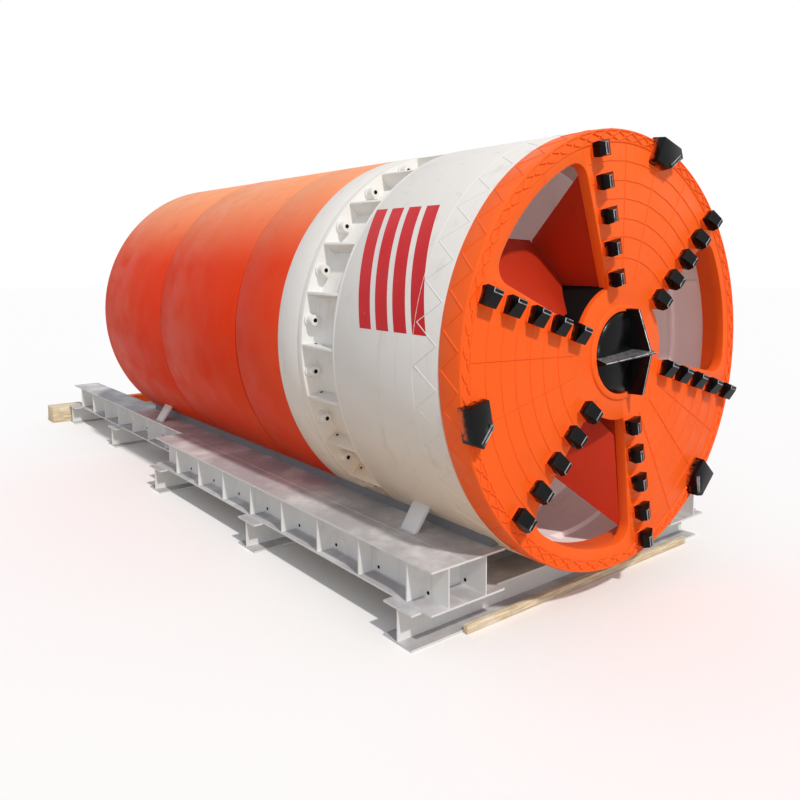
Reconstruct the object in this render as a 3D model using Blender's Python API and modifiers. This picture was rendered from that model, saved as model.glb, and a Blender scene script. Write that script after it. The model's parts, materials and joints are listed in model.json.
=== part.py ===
"""Tunnel boring machine, 3.2 m across, on its launch cradle.

Metres, +Z up, cutting face toward -Y, origin on the ground under the middle.
Stations are distances behind the cutting face, angles go from +X toward +Z.
"""

import math

import bmesh
import bpy
from mathutils import Matrix

MERGE_DISTANCE = 0.00001

# Shield: radius, walls and the lengths of its sections from front to rear
SHIELD_RADIUS = 1.60
FRONT_WALL = 0.060
TAIL_WALL = 0.040
HEAD_GAP = 0.010
FRONT_LENGTH = 1.155
POCKET_LENGTH = 0.522
COUPLING_LENGTH = 0.309
MID_LENGTH = 0.760
GROOVE_WIDTH = 0.024
GROOVE_DEPTH = 0.015
TAIL_FRONT_LENGTH = 1.784
TAIL_REAR_LENGTH = 1.826
POCKET_DEPTH = 0.130
POCKET_WALL = 0.045
POCKET_COUNT = 24
POCKET_FRONT_LIP = 0.025
POCKET_REAR_LIP = 0.067
DIVIDER_THICKNESS = 0.024
BOSS_RADIUS = 0.042
BOSS_LENGTH = 0.090
BOSS_INSET = 0.060

# Cutterhead
RIM_DEPTH = 0.190
RIM_INNER_SHARE = 0.90
HUB_RADIUS = 0.500
PLATE_THICKNESS = 0.080
LEG_DEPTH = 0.640
LEG_FRONT_INSET = 0.070
LEG_REAR_RADIUS = 0.860
LEG_SETBACK_ANGLE = 0.8
LEG_HUB_CLEARANCE = 0.003
SECTOR_HALF_ANGLE = 36.0
HEAD_TURN = 72.5
SECTOR_COUNT = 3
DRUM_RADIUS = 0.450
PICK_LINE_ANGLE = 30.5
PICKS_ON_SECTOR_LINE = 4
PICK_HUB_CLEARANCE = 0.010
PICK_RIM_INSET = 0.190
PICK_SETBACK = 0.005
PICK_WIDTH = 0.150
PICK_LENGTH = 0.100
PICK_SHOULDER = 0.075
PICK_REACH = 0.145
CUTTER_WIDTH = 0.210
CUTTER_LENGTH = 0.200
CUTTER_OVERHANG = 0.050
CUTTER_SHOULDER = 0.060
CUTTER_REACH = 0.110
BIT_DISC_RADIUS = 0.300
BIT_DISC_THICKNESS = 0.032
BIT_BLADE_HALF_LENGTH = 0.320
BIT_BLADE_THICKNESS = 0.075
BIT_SHOULDER = 0.175
BIT_REACH = 0.250

# Inside the shield
BULKHEAD_STATION = 1.000
BULKHEAD_THICKNESS = 0.060
DRIVE_LENGTH = 0.900
MUCK_HOLE_RADIUS = 0.250
CONVEYOR_LOW_DROP = 0.950
CONVEYOR_RADIUS = 0.280
CONVEYOR_FLANGE_RADIUS = 0.360
CONVEYOR_FLANGE = 0.080
CONVEYOR_TILT = 12.0
CONVEYOR_LENGTH = 5.100
CHUTE_SIDE = 0.440
CHUTE_DROP = 0.420
GATE_THICKNESS = 0.030
THRUST_RING_STATION = 2.500
THRUST_RING_THICKNESS = 0.080
THRUST_RING_WIDTH = 0.390
JACK_INSET = 0.180
JACK_PAIR_COUNT = 6
JACK_HALF_ANGLE = 9.0
BARREL_RADIUS = 0.085
BARREL_STATION = 2.250
BARREL_LENGTH = 1.400
BARREL_END = 0.100
ROD_RADIUS = 0.060
ROD_OUT = 0.080
PAD_HALF_ANGLE = 13.0
PAD_HALF_DEPTH = 0.090
PAD_THICKNESS = 0.060
ERECTOR_STATION = 4.950
ERECTOR_RING_WIDTH = 0.160
ERECTOR_RING_INSET = 0.480
ERECTOR_FRAME_THICKNESS = 0.100
ERECTOR_RING_THICKNESS = 0.150
ERECTOR_ARM_WIDTH = 0.300
ERECTOR_ARM_INSET = 0.160
ERECTOR_BEAM_WIDTH = 0.230
ERECTOR_BEAM_HEIGHT = 0.140

# Cradle: H-beams on cross-beams
CROSS_HEIGHT = 0.250
CROSS_WIDTH = 0.300
SHELL_CLEARANCE = 0.010
BEAM_HEIGHT = 0.300
OUTER_BEAM_WIDTH = 0.300
INNER_BEAM_WIDTH = 0.360
BEAM_EDGE_CLEARANCE = 0.021
BEAM_SEAM = 0.010
FLANGE_THICKNESS = 0.015
WEB_THICKNESS = 0.010
BEAM_START = 0.235
OUTER_BEAM_END = 4.920
INNER_BEAM_PAST_TAIL = 2.570
RIB_START = 0.496
RIB_PITCH = 0.553
RIB_THICKNESS = 0.012
RIB_SETBACK = 0.004
RIB_SINK = 0.004
FRONT_CROSS_HALF_LENGTH = 1.690
REAR_CROSS_HALF_LENGTH = 1.400
BAR_WIDTH = 0.070
BAR_START = 0.300
BAR_SHORT_OF_TAIL = 0.080
CHOCK_WIDTH = 0.150
CHOCK_FOOT_INSET = 0.270
CHOCK_FOOT_WIDTH = 0.030
CHOCK_TOP_INSET = 0.105
CHOCK_TOP_WIDTH = 0.022
TIE_RIB = 15
TIE_BEFORE_RIB = 0.150
TIE_WIDTH = 0.140
TIE_HEIGHT = 0.120
TIMBER_LENGTH = 0.480
TIMBER_WIDTH = 0.300
TIMBER_HEIGHT = 0.235
TIMBER_PLACE = 1.400

CROSS_BEAM_INSET = 0.105
LAST_CROSS_BEAM_INSET = 0.050
REAR_CROSS_BEAM_PAST_TAIL = 0.520
# Chocks: name, station of the middle
CHOCKS = (("front", 0.910), ("rear", 5.750))
# The two sides: name, sign of X
SIDES_OF_CRADLE = (("left", -1.0), ("right", 1.0))

# Joints between pieces and facets of round pieces
SEAT_GAP = 0.0003
RUNNING_GAP = 0.0005
SHELL_FACETS = 60
SMALL_FACETS = 10
BOSS_FACETS = 8
TUBE_FACETS = 24

# Worked out from the sizes above
AXIS_HEIGHT = CROSS_HEIGHT + SHELL_CLEARANCE + SHIELD_RADIUS
FRONT_START = RIM_DEPTH + HEAD_GAP
FRONT_END = FRONT_START + FRONT_LENGTH
POCKET_END = FRONT_END + POCKET_LENGTH
COUPLING_END = POCKET_END + COUPLING_LENGTH
MID_END = COUPLING_END + MID_LENGTH
GROOVE_END = MID_END + GROOVE_WIDTH
SEAM_STATION = GROOVE_END + TAIL_FRONT_LENGTH
TAIL_END = SEAM_STATION + TAIL_REAR_LENGTH
FRONT_INNER = SHIELD_RADIUS - FRONT_WALL
TAIL_INNER = SHIELD_RADIUS - TAIL_WALL
RIM_INNER = SHIELD_RADIUS * RIM_INNER_SHARE
RIM_PICK_RADIUS = RIM_INNER + PICK_LENGTH / 2 + PICK_SETBACK
CUTTER_RADIUS = SHIELD_RADIUS + CUTTER_OVERHANG - CUTTER_LENGTH / 2
JACK_CIRCLE = FRONT_INNER - JACK_INSET
THRUST_RING_INNER = FRONT_INNER - THRUST_RING_WIDTH
ERECTOR_RING_OUTER = TAIL_INNER - ERECTOR_RING_INSET
ERECTOR_RING_INNER = ERECTOR_RING_OUTER - ERECTOR_RING_WIDTH
ERECTOR_ARM_REACH = TAIL_INNER - ERECTOR_ARM_INSET
BEAM_BOTTOM = CROSS_HEIGHT + SEAT_GAP
BEAM_TOP = BEAM_BOTTOM + BEAM_HEIGHT
SHELL_HALF_WIDTH_AT_BEAM = math.sqrt(SHIELD_RADIUS**2 - (AXIS_HEIGHT - BEAM_TOP) ** 2)
INNER_BEAM_EDGE = SHELL_HALF_WIDTH_AT_BEAM + BEAM_EDGE_CLEARANCE
INNER_BEAM_OUTER = INNER_BEAM_EDGE + INNER_BEAM_WIDTH
OUTER_BEAM_EDGE = INNER_BEAM_OUTER + BEAM_SEAM
INNER_BEAM_END = TAIL_END + INNER_BEAM_PAST_TAIL
BAR_END = TAIL_END - BAR_SHORT_OF_TAIL
CHOCK_FOOT = INNER_BEAM_EDGE + CHOCK_FOOT_INSET
CHOCK_TOP = INNER_BEAM_EDGE + CHOCK_TOP_INSET
FIRST_CROSS_BEAM = BEAM_START + CROSS_WIDTH / 2 + CROSS_BEAM_INSET
THIRD_CROSS_BEAM = OUTER_BEAM_END - CROSS_WIDTH / 2
LAST_CROSS_BEAM = INNER_BEAM_END - CROSS_WIDTH / 2 - LAST_CROSS_BEAM_INSET
# Cross-beams: station of the middle, half length
CROSS_BEAMS = (
    (FIRST_CROSS_BEAM, FRONT_CROSS_HALF_LENGTH),
    ((FIRST_CROSS_BEAM + THIRD_CROSS_BEAM) / 2, FRONT_CROSS_HALF_LENGTH),
    (THIRD_CROSS_BEAM, FRONT_CROSS_HALF_LENGTH),
    (TAIL_END + REAR_CROSS_BEAM_PAST_TAIL, REAR_CROSS_HALF_LENGTH),
    (LAST_CROSS_BEAM, REAR_CROSS_HALF_LENGTH),
)
TIMBER_START = CROSS_BEAMS[-1][0] + CROSS_WIDTH / 2 + SEAT_GAP
REAR_END = max(TIMBER_START + TIMBER_WIDTH, INNER_BEAM_END)
FACE_Y = -(REAR_END - BIT_REACH) / 2
FACET = math.radians(360.0 / SHELL_FACETS)
BULKHEAD_END = BULKHEAD_STATION + BULKHEAD_THICKNESS
BARREL_STOP = BARREL_STATION + BARREL_LENGTH
PAD_STATION = BARREL_STOP + ROD_OUT
TIE_STATION = RIB_START + RIB_PITCH * TIE_RIB - TIE_BEFORE_RIB - TIE_WIDTH / 2
CONVEYOR_START = BULKHEAD_END + CONVEYOR_FLANGE * 0.9

# Extrusion frames: local Z of an outline runs along -Y, or along +X
ALONG_Y = Matrix(((1, 0, 0, 0), (0, 0, -1, 0), (0, 1, 0, 0), (0, 0, 0, 1)))
ALONG_X = Matrix(((0, 0, 1, 0), (1, 0, 0, 0), (0, 1, 0, 0), (0, 0, 0, 1)))
# Turning frame: local Z runs along +Y
TURNED = Matrix(((1, 0, 0, 0), (0, 0, 1, 0), (0, -1, 0, 0), (0, 0, 0, 1)))
ON_AXIS = Matrix.Translation((0, FACE_Y, AXIS_HEIGHT))

# Colours, roughness and metallic value of each paint or metal
FINISHES = {
    "orange_enamel": ((0.85, 0.16, 0.04), 0.42, 0.0),
    "cream_enamel": ((0.78, 0.74, 0.66), 0.45, 0.0),
    "grey_steel": ((0.30, 0.30, 0.31), 0.60, 0.3),
    "carbide_black": ((0.03, 0.03, 0.035), 0.28, 0.6),
    "dark_seal": ((0.05, 0.05, 0.05), 0.70, 0.0),
    "chromed_rod": ((0.70, 0.70, 0.72), 0.18, 1.0),
    "pale_timber": ((0.62, 0.48, 0.30), 0.80, 0.0),
}


def clear_scene():
    for obj in list(bpy.data.objects):
        bpy.data.objects.remove(obj, do_unlink=True)


def new_collection(name):
    collection = bpy.data.collections.new(name)
    bpy.context.scene.collection.children.link(collection)
    return collection


def finish(name):
    """The Principled material of a finish, made once."""
    material = bpy.data.materials.get(name)
    if material:
        return material
    colour, roughness, metallic = FINISHES[name]
    material = bpy.data.materials.new(name)
    material.use_nodes = True
    shader = material.node_tree.nodes["Principled BSDF"]
    shader.inputs["Base Color"].default_value = (*colour, 1.0)
    shader.inputs["Roughness"].default_value = roughness
    shader.inputs["Metallic"].default_value = metallic
    return material


def turn_about_axis(degrees):
    """Rotation about the machine's axis, from +X toward +Z."""
    return Matrix.Rotation(-math.radians(degrees), 4, "Y")


def outline_mesh(name, outline, depth):
    """A flat outline in local XY, thick along local Z from 0 to depth."""
    curve = bpy.data.curves.new(name, "CURVE")
    curve.dimensions = "2D"
    curve.fill_mode = "BOTH"
    curve.extrude = depth / 2
    spline = curve.splines.new("POLY")
    spline.points.add(len(outline) - 1)
    for point, (x, y) in zip(spline.points, outline):
        point.co = (x, y, 0, 1)
    spline.use_cyclic_u = True
    guide = bpy.data.objects.new(name + "_guide", curve)
    bpy.context.scene.collection.objects.link(guide)
    graph = bpy.context.evaluated_depsgraph_get()
    mesh = bpy.data.meshes.new_from_object(guide.evaluated_get(graph))
    bpy.data.objects.remove(guide, do_unlink=True)
    shape = bmesh.new()
    shape.from_mesh(mesh)
    bmesh.ops.remove_doubles(shape, verts=shape.verts, dist=MERGE_DISTANCE)
    # One face for each end in place of the curve's fan of slivers
    ends = [face for face in shape.faces if len({round(v.co.z, 5) for v in face.verts}) == 1]
    bmesh.ops.delete(shape, geom=ends, context="FACES")
    bmesh.ops.holes_fill(shape, edges=shape.edges, sides=0)
    bmesh.ops.translate(shape, verts=shape.verts, vec=(0, 0, depth / 2))
    bmesh.ops.recalc_face_normals(shape, faces=shape.faces)
    shape.to_mesh(mesh)
    shape.free()
    mesh.name = name
    return mesh


def copies_mesh(name, mesh, places):
    """One mesh that holds a copy of the given one at each place."""
    shape = bmesh.new()
    for place in places:
        first = len(shape.verts)
        shape.from_mesh(mesh)
        shape.verts.ensure_lookup_table()
        bmesh.ops.transform(shape, matrix=place, verts=shape.verts[first:])
    joined = bpy.data.meshes.new(name)
    shape.to_mesh(joined)
    shape.free()
    return joined


def box_mesh(name, low, high):
    shape = bmesh.new()
    bmesh.ops.create_cube(shape, size=1.0)
    size = [b - a for a, b in zip(low, high)]
    middle = [(a + b) / 2 for a, b in zip(low, high)]
    bmesh.ops.scale(shape, verts=shape.verts, vec=size)
    bmesh.ops.translate(shape, verts=shape.verts, vec=middle)
    mesh = bpy.data.meshes.new(name)
    shape.to_mesh(mesh)
    shape.free()
    return mesh


def rod_mesh(name, radius, length, facets):
    """A cylinder along local Z, from 0 to its length."""
    shape = bmesh.new()
    bmesh.ops.create_cone(
        shape, cap_ends=True, segments=facets, radius1=radius, radius2=radius, depth=length
    )
    bmesh.ops.translate(shape, verts=shape.verts, vec=(0, 0, length / 2))
    mesh = bpy.data.meshes.new(name)
    shape.to_mesh(mesh)
    shape.free()
    return mesh


def ring_outline(radius, half_angle, facets):
    """Points of an arc about 0 degrees, spaced as the facets of a full circle."""
    count = max(1, round(2 * half_angle * facets / 360.0))
    turns = [math.radians(half_angle * (2 * i / count - 1)) for i in range(count + 1)]
    return [(radius * math.cos(a), radius * math.sin(a)) for a in turns]


def sector_outline(inner, outer, half_angle, facets=SHELL_FACETS):
    outside = ring_outline(outer, half_angle, facets)
    return outside + ring_outline(inner, half_angle, facets)[::-1]


def h_outline(middle, bottom, width, height):
    """An H-beam's section: flanges above and below one upright web."""
    half = width / 2
    web = WEB_THICKNESS / 2
    low = bottom + FLANGE_THICKNESS
    high = bottom + height - FLANGE_THICKNESS
    right = [(half, bottom), (half, low), (web, low), (web, high), (half, high), (half, bottom + height)]
    left = [(-x, z) for x, z in reversed(right)]
    return [(middle + x, z) for x, z in right + left]


class Kit:
    """Collections of the model, and the calls that place a mesh in them."""

    def __init__(self):
        self.parts = new_collection("tunnel_boring_machine")
        self.cutters = new_collection("cutters")
        self.cutters.hide_render = True

    def pivot(self, name, location):
        """An empty on a joint's axis, which carries the pieces that move with it."""
        empty = bpy.data.objects.new(name, None)
        empty.location = location
        self.parts.objects.link(empty)
        return empty

    def place(self, name, mesh, place, material, pivot=None):
        obj = bpy.data.objects.new(name, mesh)
        self.parts.objects.link(obj)
        if not mesh.materials:
            mesh.materials.append(finish(material))
        if pivot:
            obj.parent = pivot
            obj.matrix_parent_inverse = Matrix.Translation(pivot.location).inverted()
        obj.matrix_basis = place
        return obj

    def cut(self, obj, mesh, place, operation):
        cutter = bpy.data.objects.new(obj.name + "_" + operation.lower(), mesh)
        self.cutters.objects.link(cutter)
        cutter.matrix_basis = place
        cutter.hide_render = True
        cutter.display_type = "WIRE"
        modifier = obj.modifiers.new(operation.title(), "BOOLEAN")
        modifier.operation = operation
        modifier.object = cutter
        return cutter

    def turned(self, name, profile, material, place=ON_AXIS, pivot=None):
        """A ring about the machine's axis from (radius, station) points of its section."""
        mesh = bpy.data.meshes.new(name)
        count = len(profile)
        edges = [(i, (i + 1) % count) for i in range(count)]
        mesh.from_pydata([(radius, 0, along) for radius, along in profile], edges, [])
        obj = self.place(name, mesh, place @ TURNED, material, pivot)
        screw = obj.modifiers.new("Turn", "SCREW")
        screw.steps = SHELL_FACETS
        screw.render_steps = SHELL_FACETS
        screw.use_merge_vertices = True
        screw.merge_threshold = MERGE_DISTANCE
        return obj

    def tube(self, name, outer, inner, start, end, material, place=ON_AXIS, pivot=None):
        profile = [(outer, end), (outer, start), (inner, start), (inner, end)]
        return self.turned(name, profile, material, place, pivot)


def along_axis(station):
    return ON_AXIS @ Matrix.Translation((0, station, 0))


def pick_places(radii, turns):
    """Places on the cutting face, one for each radius on each line of picks."""
    return [turn_about_axis(turn) @ Matrix.Translation((radius, 0, 0)) for turn in turns for radius in radii]


def pick_mesh(name, width, length, shoulder, reach):
    """A cutting pick with a roof-shaped tip, its width across the radius."""
    half = width / 2
    sink = shoulder / 2
    outline = [(-half, sink), (-half, -shoulder), (0, -reach), (half, -shoulder), (half, sink)]
    mesh = outline_mesh(name, outline, length)
    # Outline X goes across the radius, outline Y along the axis, depth along the radius
    across = Matrix(((0, 0, 1, -length / 2), (0, 1, 0, 0), (1, 0, 0, 0), (0, 0, 0, 1)))
    mesh.transform(across)
    shape = bmesh.new()
    shape.from_mesh(mesh)
    bmesh.ops.recalc_face_normals(shape, faces=shape.faces)
    shape.to_mesh(mesh)
    shape.free()
    return mesh


def leg_mesh():
    """The hollow spoke behind a sector: its outer side leans in from the rim to the drum."""
    inner = HUB_RADIUS + LEG_HUB_CLEARANCE
    front_radius = RIM_INNER - LEG_FRONT_INSET
    half_angle = SECTOR_HALF_ANGLE - LEG_SETBACK_ANGLE
    outline = sector_outline(inner, front_radius, half_angle)
    mesh = outline_mesh("head_leg", outline, LEG_DEPTH - PLATE_THICKNESS / 2)
    rear_share = LEG_REAR_RADIUS / front_radius
    for vertex in mesh.vertices:
        radius = math.hypot(vertex.co.x, vertex.co.y)
        if vertex.co.z < PLATE_THICKNESS and radius > (inner + front_radius) / 2:
            vertex.co.x *= rear_share
            vertex.co.y *= rear_share
    return mesh


def build_cutterhead(kit):
    pivot = kit.pivot("cutterhead_axis", (0, FACE_Y, AXIS_HEIGHT))
    head = ON_AXIS @ turn_about_axis(HEAD_TURN)
    thirds = [360.0 / SECTOR_COUNT * i for i in range(SECTOR_COUNT)]
    lines = (-PICK_LINE_ANGLE, PICK_LINE_ANGLE)
    first = HUB_RADIUS + PICK_LENGTH / 2 + PICK_HUB_CLEARANCE
    step = (RIM_INNER - PICK_RIM_INSET - first) / (PICKS_ON_SECTOR_LINE - 1)
    radii = [first + step * i for i in range(PICKS_ON_SECTOR_LINE)]
    pick = pick_mesh("pick", PICK_WIDTH, PICK_LENGTH, PICK_SHOULDER, PICK_REACH)
    cutter = pick_mesh("cutter", CUTTER_WIDTH, CUTTER_LENGTH, CUTTER_SHOULDER, CUTTER_REACH)

    rim = kit.tube("head_rim", SHIELD_RADIUS, RIM_INNER, 0, RIM_DEPTH, "orange_enamel", head, pivot)
    rim_turns = [third + line for third in thirds for line in lines]
    rim_picks = copies_mesh("rim_picks", pick, pick_places([RIM_PICK_RADIUS], rim_turns))
    kit.cut(rim, rim_picks, head, "UNION")
    gauge = copies_mesh("gauge_cutters", cutter, pick_places([CUTTER_RADIUS], thirds))
    kit.cut(rim, gauge, head, "UNION")

    outline = sector_outline(HUB_RADIUS + SEAT_GAP, RIM_INNER - SEAT_GAP, SECTOR_HALF_ANGLE)
    sector_mesh = outline_mesh("head_sector", outline, PLATE_THICKNESS)
    sector_picks = copies_mesh("sector_picks", pick, pick_places(radii, lines))
    leg = leg_mesh()
    for number, third in enumerate(thirds, 1):
        turned = head @ turn_about_axis(third)
        back = turned @ Matrix.Translation((0, PLATE_THICKNESS, 0)) @ ALONG_Y
        sector = kit.place(f"head_sector_{number}", sector_mesh, back, "orange_enamel", pivot)
        kit.cut(sector, leg, turned @ Matrix.Translation((0, LEG_DEPTH, 0)) @ ALONG_Y, "UNION")
        kit.cut(sector, sector_picks, turned, "UNION")

    hub = rod_mesh("head_hub", HUB_RADIUS, LEG_DEPTH, SHELL_FACETS)
    kit.place("head_hub", hub, head @ TURNED, "orange_enamel", pivot)
    drum_start = LEG_DEPTH + SEAT_GAP
    drum_length = BULKHEAD_STATION - RUNNING_GAP - drum_start
    drum = rod_mesh("head_drum", DRUM_RADIUS, drum_length, SHELL_FACETS)
    drum_place = head @ Matrix.Translation((0, drum_start, 0)) @ TURNED
    kit.place("head_drum", drum, drum_place, "orange_enamel", pivot)
    build_centre_bit(kit, pivot)


def build_centre_bit(kit, pivot):
    disc = rod_mesh("centre_bit", BIT_DISC_RADIUS, BIT_DISC_THICKNESS, TUBE_FACETS)
    front = ON_AXIS @ Matrix.Translation((0, -BIT_DISC_THICKNESS - SEAT_GAP, 0)) @ TURNED
    bit = kit.place("centre_bit", disc, front, "carbide_black", pivot)
    half = BIT_BLADE_HALF_LENGTH
    root = -BIT_DISC_THICKNESS / 2
    outline = [(-half, root), (-half, -BIT_SHOULDER), (0, -BIT_REACH), (half, -BIT_SHOULDER), (half, root)]
    blade = outline_mesh("bit_blade", outline, BIT_BLADE_THICKNESS)
    blade.transform(Matrix.Translation((0, 0, -BIT_BLADE_THICKNESS / 2)))
    for turn in (0.0, 90.0):
        kit.cut(bit, blade, ON_AXIS @ turn_about_axis(turn), "UNION")


def build_shield(kit):
    kit.tube("front_shield", SHIELD_RADIUS, FRONT_INNER, FRONT_START, FRONT_END - SEAT_GAP, "cream_enamel")
    build_pocket_ring(kit)
    kit.tube(
        "coupling_ring",
        SHIELD_RADIUS,
        FRONT_INNER,
        POCKET_END + SEAT_GAP,
        COUPLING_END - SEAT_GAP,
        "cream_enamel",
    )
    kit.tube("mid_shield", SHIELD_RADIUS, FRONT_INNER, COUPLING_END, MID_END, "orange_enamel")
    groove_outer = SHIELD_RADIUS - GROOVE_DEPTH
    kit.tube("seal_ring", groove_outer, FRONT_INNER, MID_END + SEAT_GAP, GROOVE_END - SEAT_GAP, "dark_seal")
    kit.tube("tail_front", SHIELD_RADIUS, TAIL_INNER, GROOVE_END, SEAM_STATION - SEAT_GAP, "orange_enamel")
    kit.tube("tail_rear", SHIELD_RADIUS, TAIL_INNER, SEAM_STATION, TAIL_END, "orange_enamel")


def build_pocket_ring(kit):
    """The ring of recessed pockets, parted by axial plates, with a boss on each rear wall."""
    floor = SHIELD_RADIUS - POCKET_DEPTH
    inner = floor - POCKET_WALL
    front = FRONT_END + POCKET_FRONT_LIP
    rear = POCKET_END - POCKET_REAR_LIP
    profile = [
        (SHIELD_RADIUS, POCKET_END),
        (SHIELD_RADIUS, rear),
        (floor, rear),
        (floor, front),
        (SHIELD_RADIUS, front),
        (SHIELD_RADIUS, FRONT_END),
        (inner, FRONT_END),
        (inner, POCKET_END),
    ]
    ring = kit.turned("pocket_ring", profile, "cream_enamel")
    pitch = 360.0 / POCKET_COUNT
    half = DIVIDER_THICKNESS / 2
    crest = SHIELD_RADIUS * math.cos(FACET / 2) - SEAT_GAP
    low = (floor - POCKET_WALL / 2, FRONT_END + POCKET_FRONT_LIP / 2, -half)
    high = (crest, rear + POCKET_REAR_LIP / 2, half)
    turns = [turn_about_axis(pitch * i) for i in range(POCKET_COUNT)]
    kit.cut(ring, copies_mesh("dividers", box_mesh("divider", low, high), turns), ON_AXIS, "UNION")
    boss = rod_mesh("boss", BOSS_RADIUS, BOSS_LENGTH + POCKET_REAR_LIP / 2, BOSS_FACETS)
    seat = Matrix.Translation((SHIELD_RADIUS - BOSS_INSET, rear - BOSS_LENGTH, 0)) @ TURNED
    places = [turn_about_axis(pitch * (i + 0.5)) @ seat for i in range(POCKET_COUNT)]
    kit.cut(ring, copies_mesh("bosses", boss, places), ON_AXIS, "UNION")


def build_bulkhead(kit):
    drive_front = BULKHEAD_STATION
    bulkhead = kit.tube(
        "bulkhead",
        FRONT_INNER - SEAT_GAP,
        DRUM_RADIUS + SEAT_GAP,
        drive_front,
        BULKHEAD_END,
        "cream_enamel",
    )
    hole = rod_mesh("muck_hole", MUCK_HOLE_RADIUS, 3 * BULKHEAD_THICKNESS, TUBE_FACETS)
    low = Matrix.Translation((0, drive_front - BULKHEAD_THICKNESS, -CONVEYOR_LOW_DROP))
    kit.cut(bulkhead, hole, ON_AXIS @ low @ TURNED, "DIFFERENCE")
    drive = rod_mesh("main_drive", DRUM_RADIUS, DRIVE_LENGTH, SHELL_FACETS)
    kit.place("main_drive", drive, along_axis(drive_front) @ TURNED, "grey_steel")


def build_screw_conveyor(kit):
    flange = rod_mesh("screw_conveyor", CONVEYOR_FLANGE_RADIUS, CONVEYOR_FLANGE, TUBE_FACETS)
    low = Matrix.Translation((0, 0, -CONVEYOR_LOW_DROP))
    flange_place = along_axis(BULKHEAD_END + SEAT_GAP) @ low @ TURNED
    casing = kit.place("screw_conveyor", flange, flange_place, "grey_steel")
    tilt = Matrix.Rotation(math.radians(CONVEYOR_TILT), 4, "X")
    start = along_axis(CONVEYOR_START) @ low @ tilt
    tube = rod_mesh("conveyor_tube", CONVEYOR_RADIUS, CONVEYOR_LENGTH, TUBE_FACETS)
    kit.cut(casing, tube, start @ TURNED, "UNION")
    run = CONVEYOR_LENGTH - CHUTE_SIDE / 2
    outlet = start @ Matrix.Translation((0, run, 0)).to_translation().to_4d()
    half = CHUTE_SIDE / 2
    chute_bottom = outlet.z - CHUTE_DROP
    low_corner = (-half, outlet.y - half, chute_bottom)
    high_corner = (half, outlet.y + half - SEAT_GAP, outlet.z)
    kit.cut(casing, box_mesh("chute", low_corner, high_corner), Matrix(), "UNION")
    gate_pivot = kit.pivot("gate_slide", (0, outlet.y, chute_bottom))
    gate_low = (-half, outlet.y - half, chute_bottom - RUNNING_GAP - GATE_THICKNESS)
    gate_high = (half, outlet.y + half, chute_bottom - RUNNING_GAP)
    gate = box_mesh("discharge_gate", gate_low, gate_high)
    kit.place("discharge_gate", gate, Matrix(), "orange_enamel", gate_pivot)


def jack_turns():
    """The angle of every jack, two about each pair's middle."""
    middles = [360.0 / JACK_PAIR_COUNT * i for i in range(JACK_PAIR_COUNT)]
    return [middle + side * JACK_HALF_ANGLE for middle in middles for side in (-1, 1)]


def jack_place(turn, station):
    return turn_about_axis(turn) @ Matrix.Translation((JACK_CIRCLE, station, 0)) @ TURNED


def build_thrust(kit):
    ring = kit.tube(
        "thrust_ring",
        FRONT_INNER - SEAT_GAP,
        THRUST_RING_INNER,
        THRUST_RING_STATION,
        THRUST_RING_STATION + THRUST_RING_THICKNESS,
        "cream_enamel",
    )
    barrel = rod_mesh("barrel", BARREL_RADIUS, BARREL_LENGTH, SMALL_FACETS)
    barrels = copies_mesh("barrels", barrel, [jack_place(turn, BARREL_STATION) for turn in jack_turns()])
    kit.cut(ring, barrels, ON_AXIS, "UNION")
    bore_length = BARREL_LENGTH - BARREL_END
    bore = rod_mesh("bore", ROD_RADIUS + RUNNING_GAP, bore_length + BARREL_END, SMALL_FACETS)
    bore_start = BARREL_STATION + BARREL_END
    bores = copies_mesh("bores", bore, [jack_place(turn, bore_start) for turn in jack_turns()])
    kit.cut(ring, bores, ON_AXIS, "DIFFERENCE")

    pivot = kit.pivot("thrust_jack_slide", (0, FACE_Y + PAD_STATION, AXIS_HEIGHT))
    inner = JACK_CIRCLE - PAD_HALF_DEPTH
    outer = JACK_CIRCLE + PAD_HALF_DEPTH
    pad = outline_mesh("jack_pad", sector_outline(inner, outer, PAD_HALF_ANGLE), PAD_THICKNESS)
    rod_start = bore_start + RUNNING_GAP
    rod = rod_mesh("rod", ROD_RADIUS, PAD_STATION + PAD_THICKNESS / 2 - rod_start, SMALL_FACETS)
    sides = (-JACK_HALF_ANGLE, JACK_HALF_ANGLE)
    rods = copies_mesh("rods", rod, [jack_place(side, rod_start) for side in sides])
    back = Matrix.Translation((0, PAD_STATION + PAD_THICKNESS, 0)) @ ALONG_Y
    for number in range(JACK_PAIR_COUNT):
        turned = ON_AXIS @ turn_about_axis(360.0 / JACK_PAIR_COUNT * number)
        jack = kit.place(f"thrust_jack_{number + 1}", pad, turned @ back, "chromed_rod", pivot)
        kit.cut(jack, rods, turned, "UNION")


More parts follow.
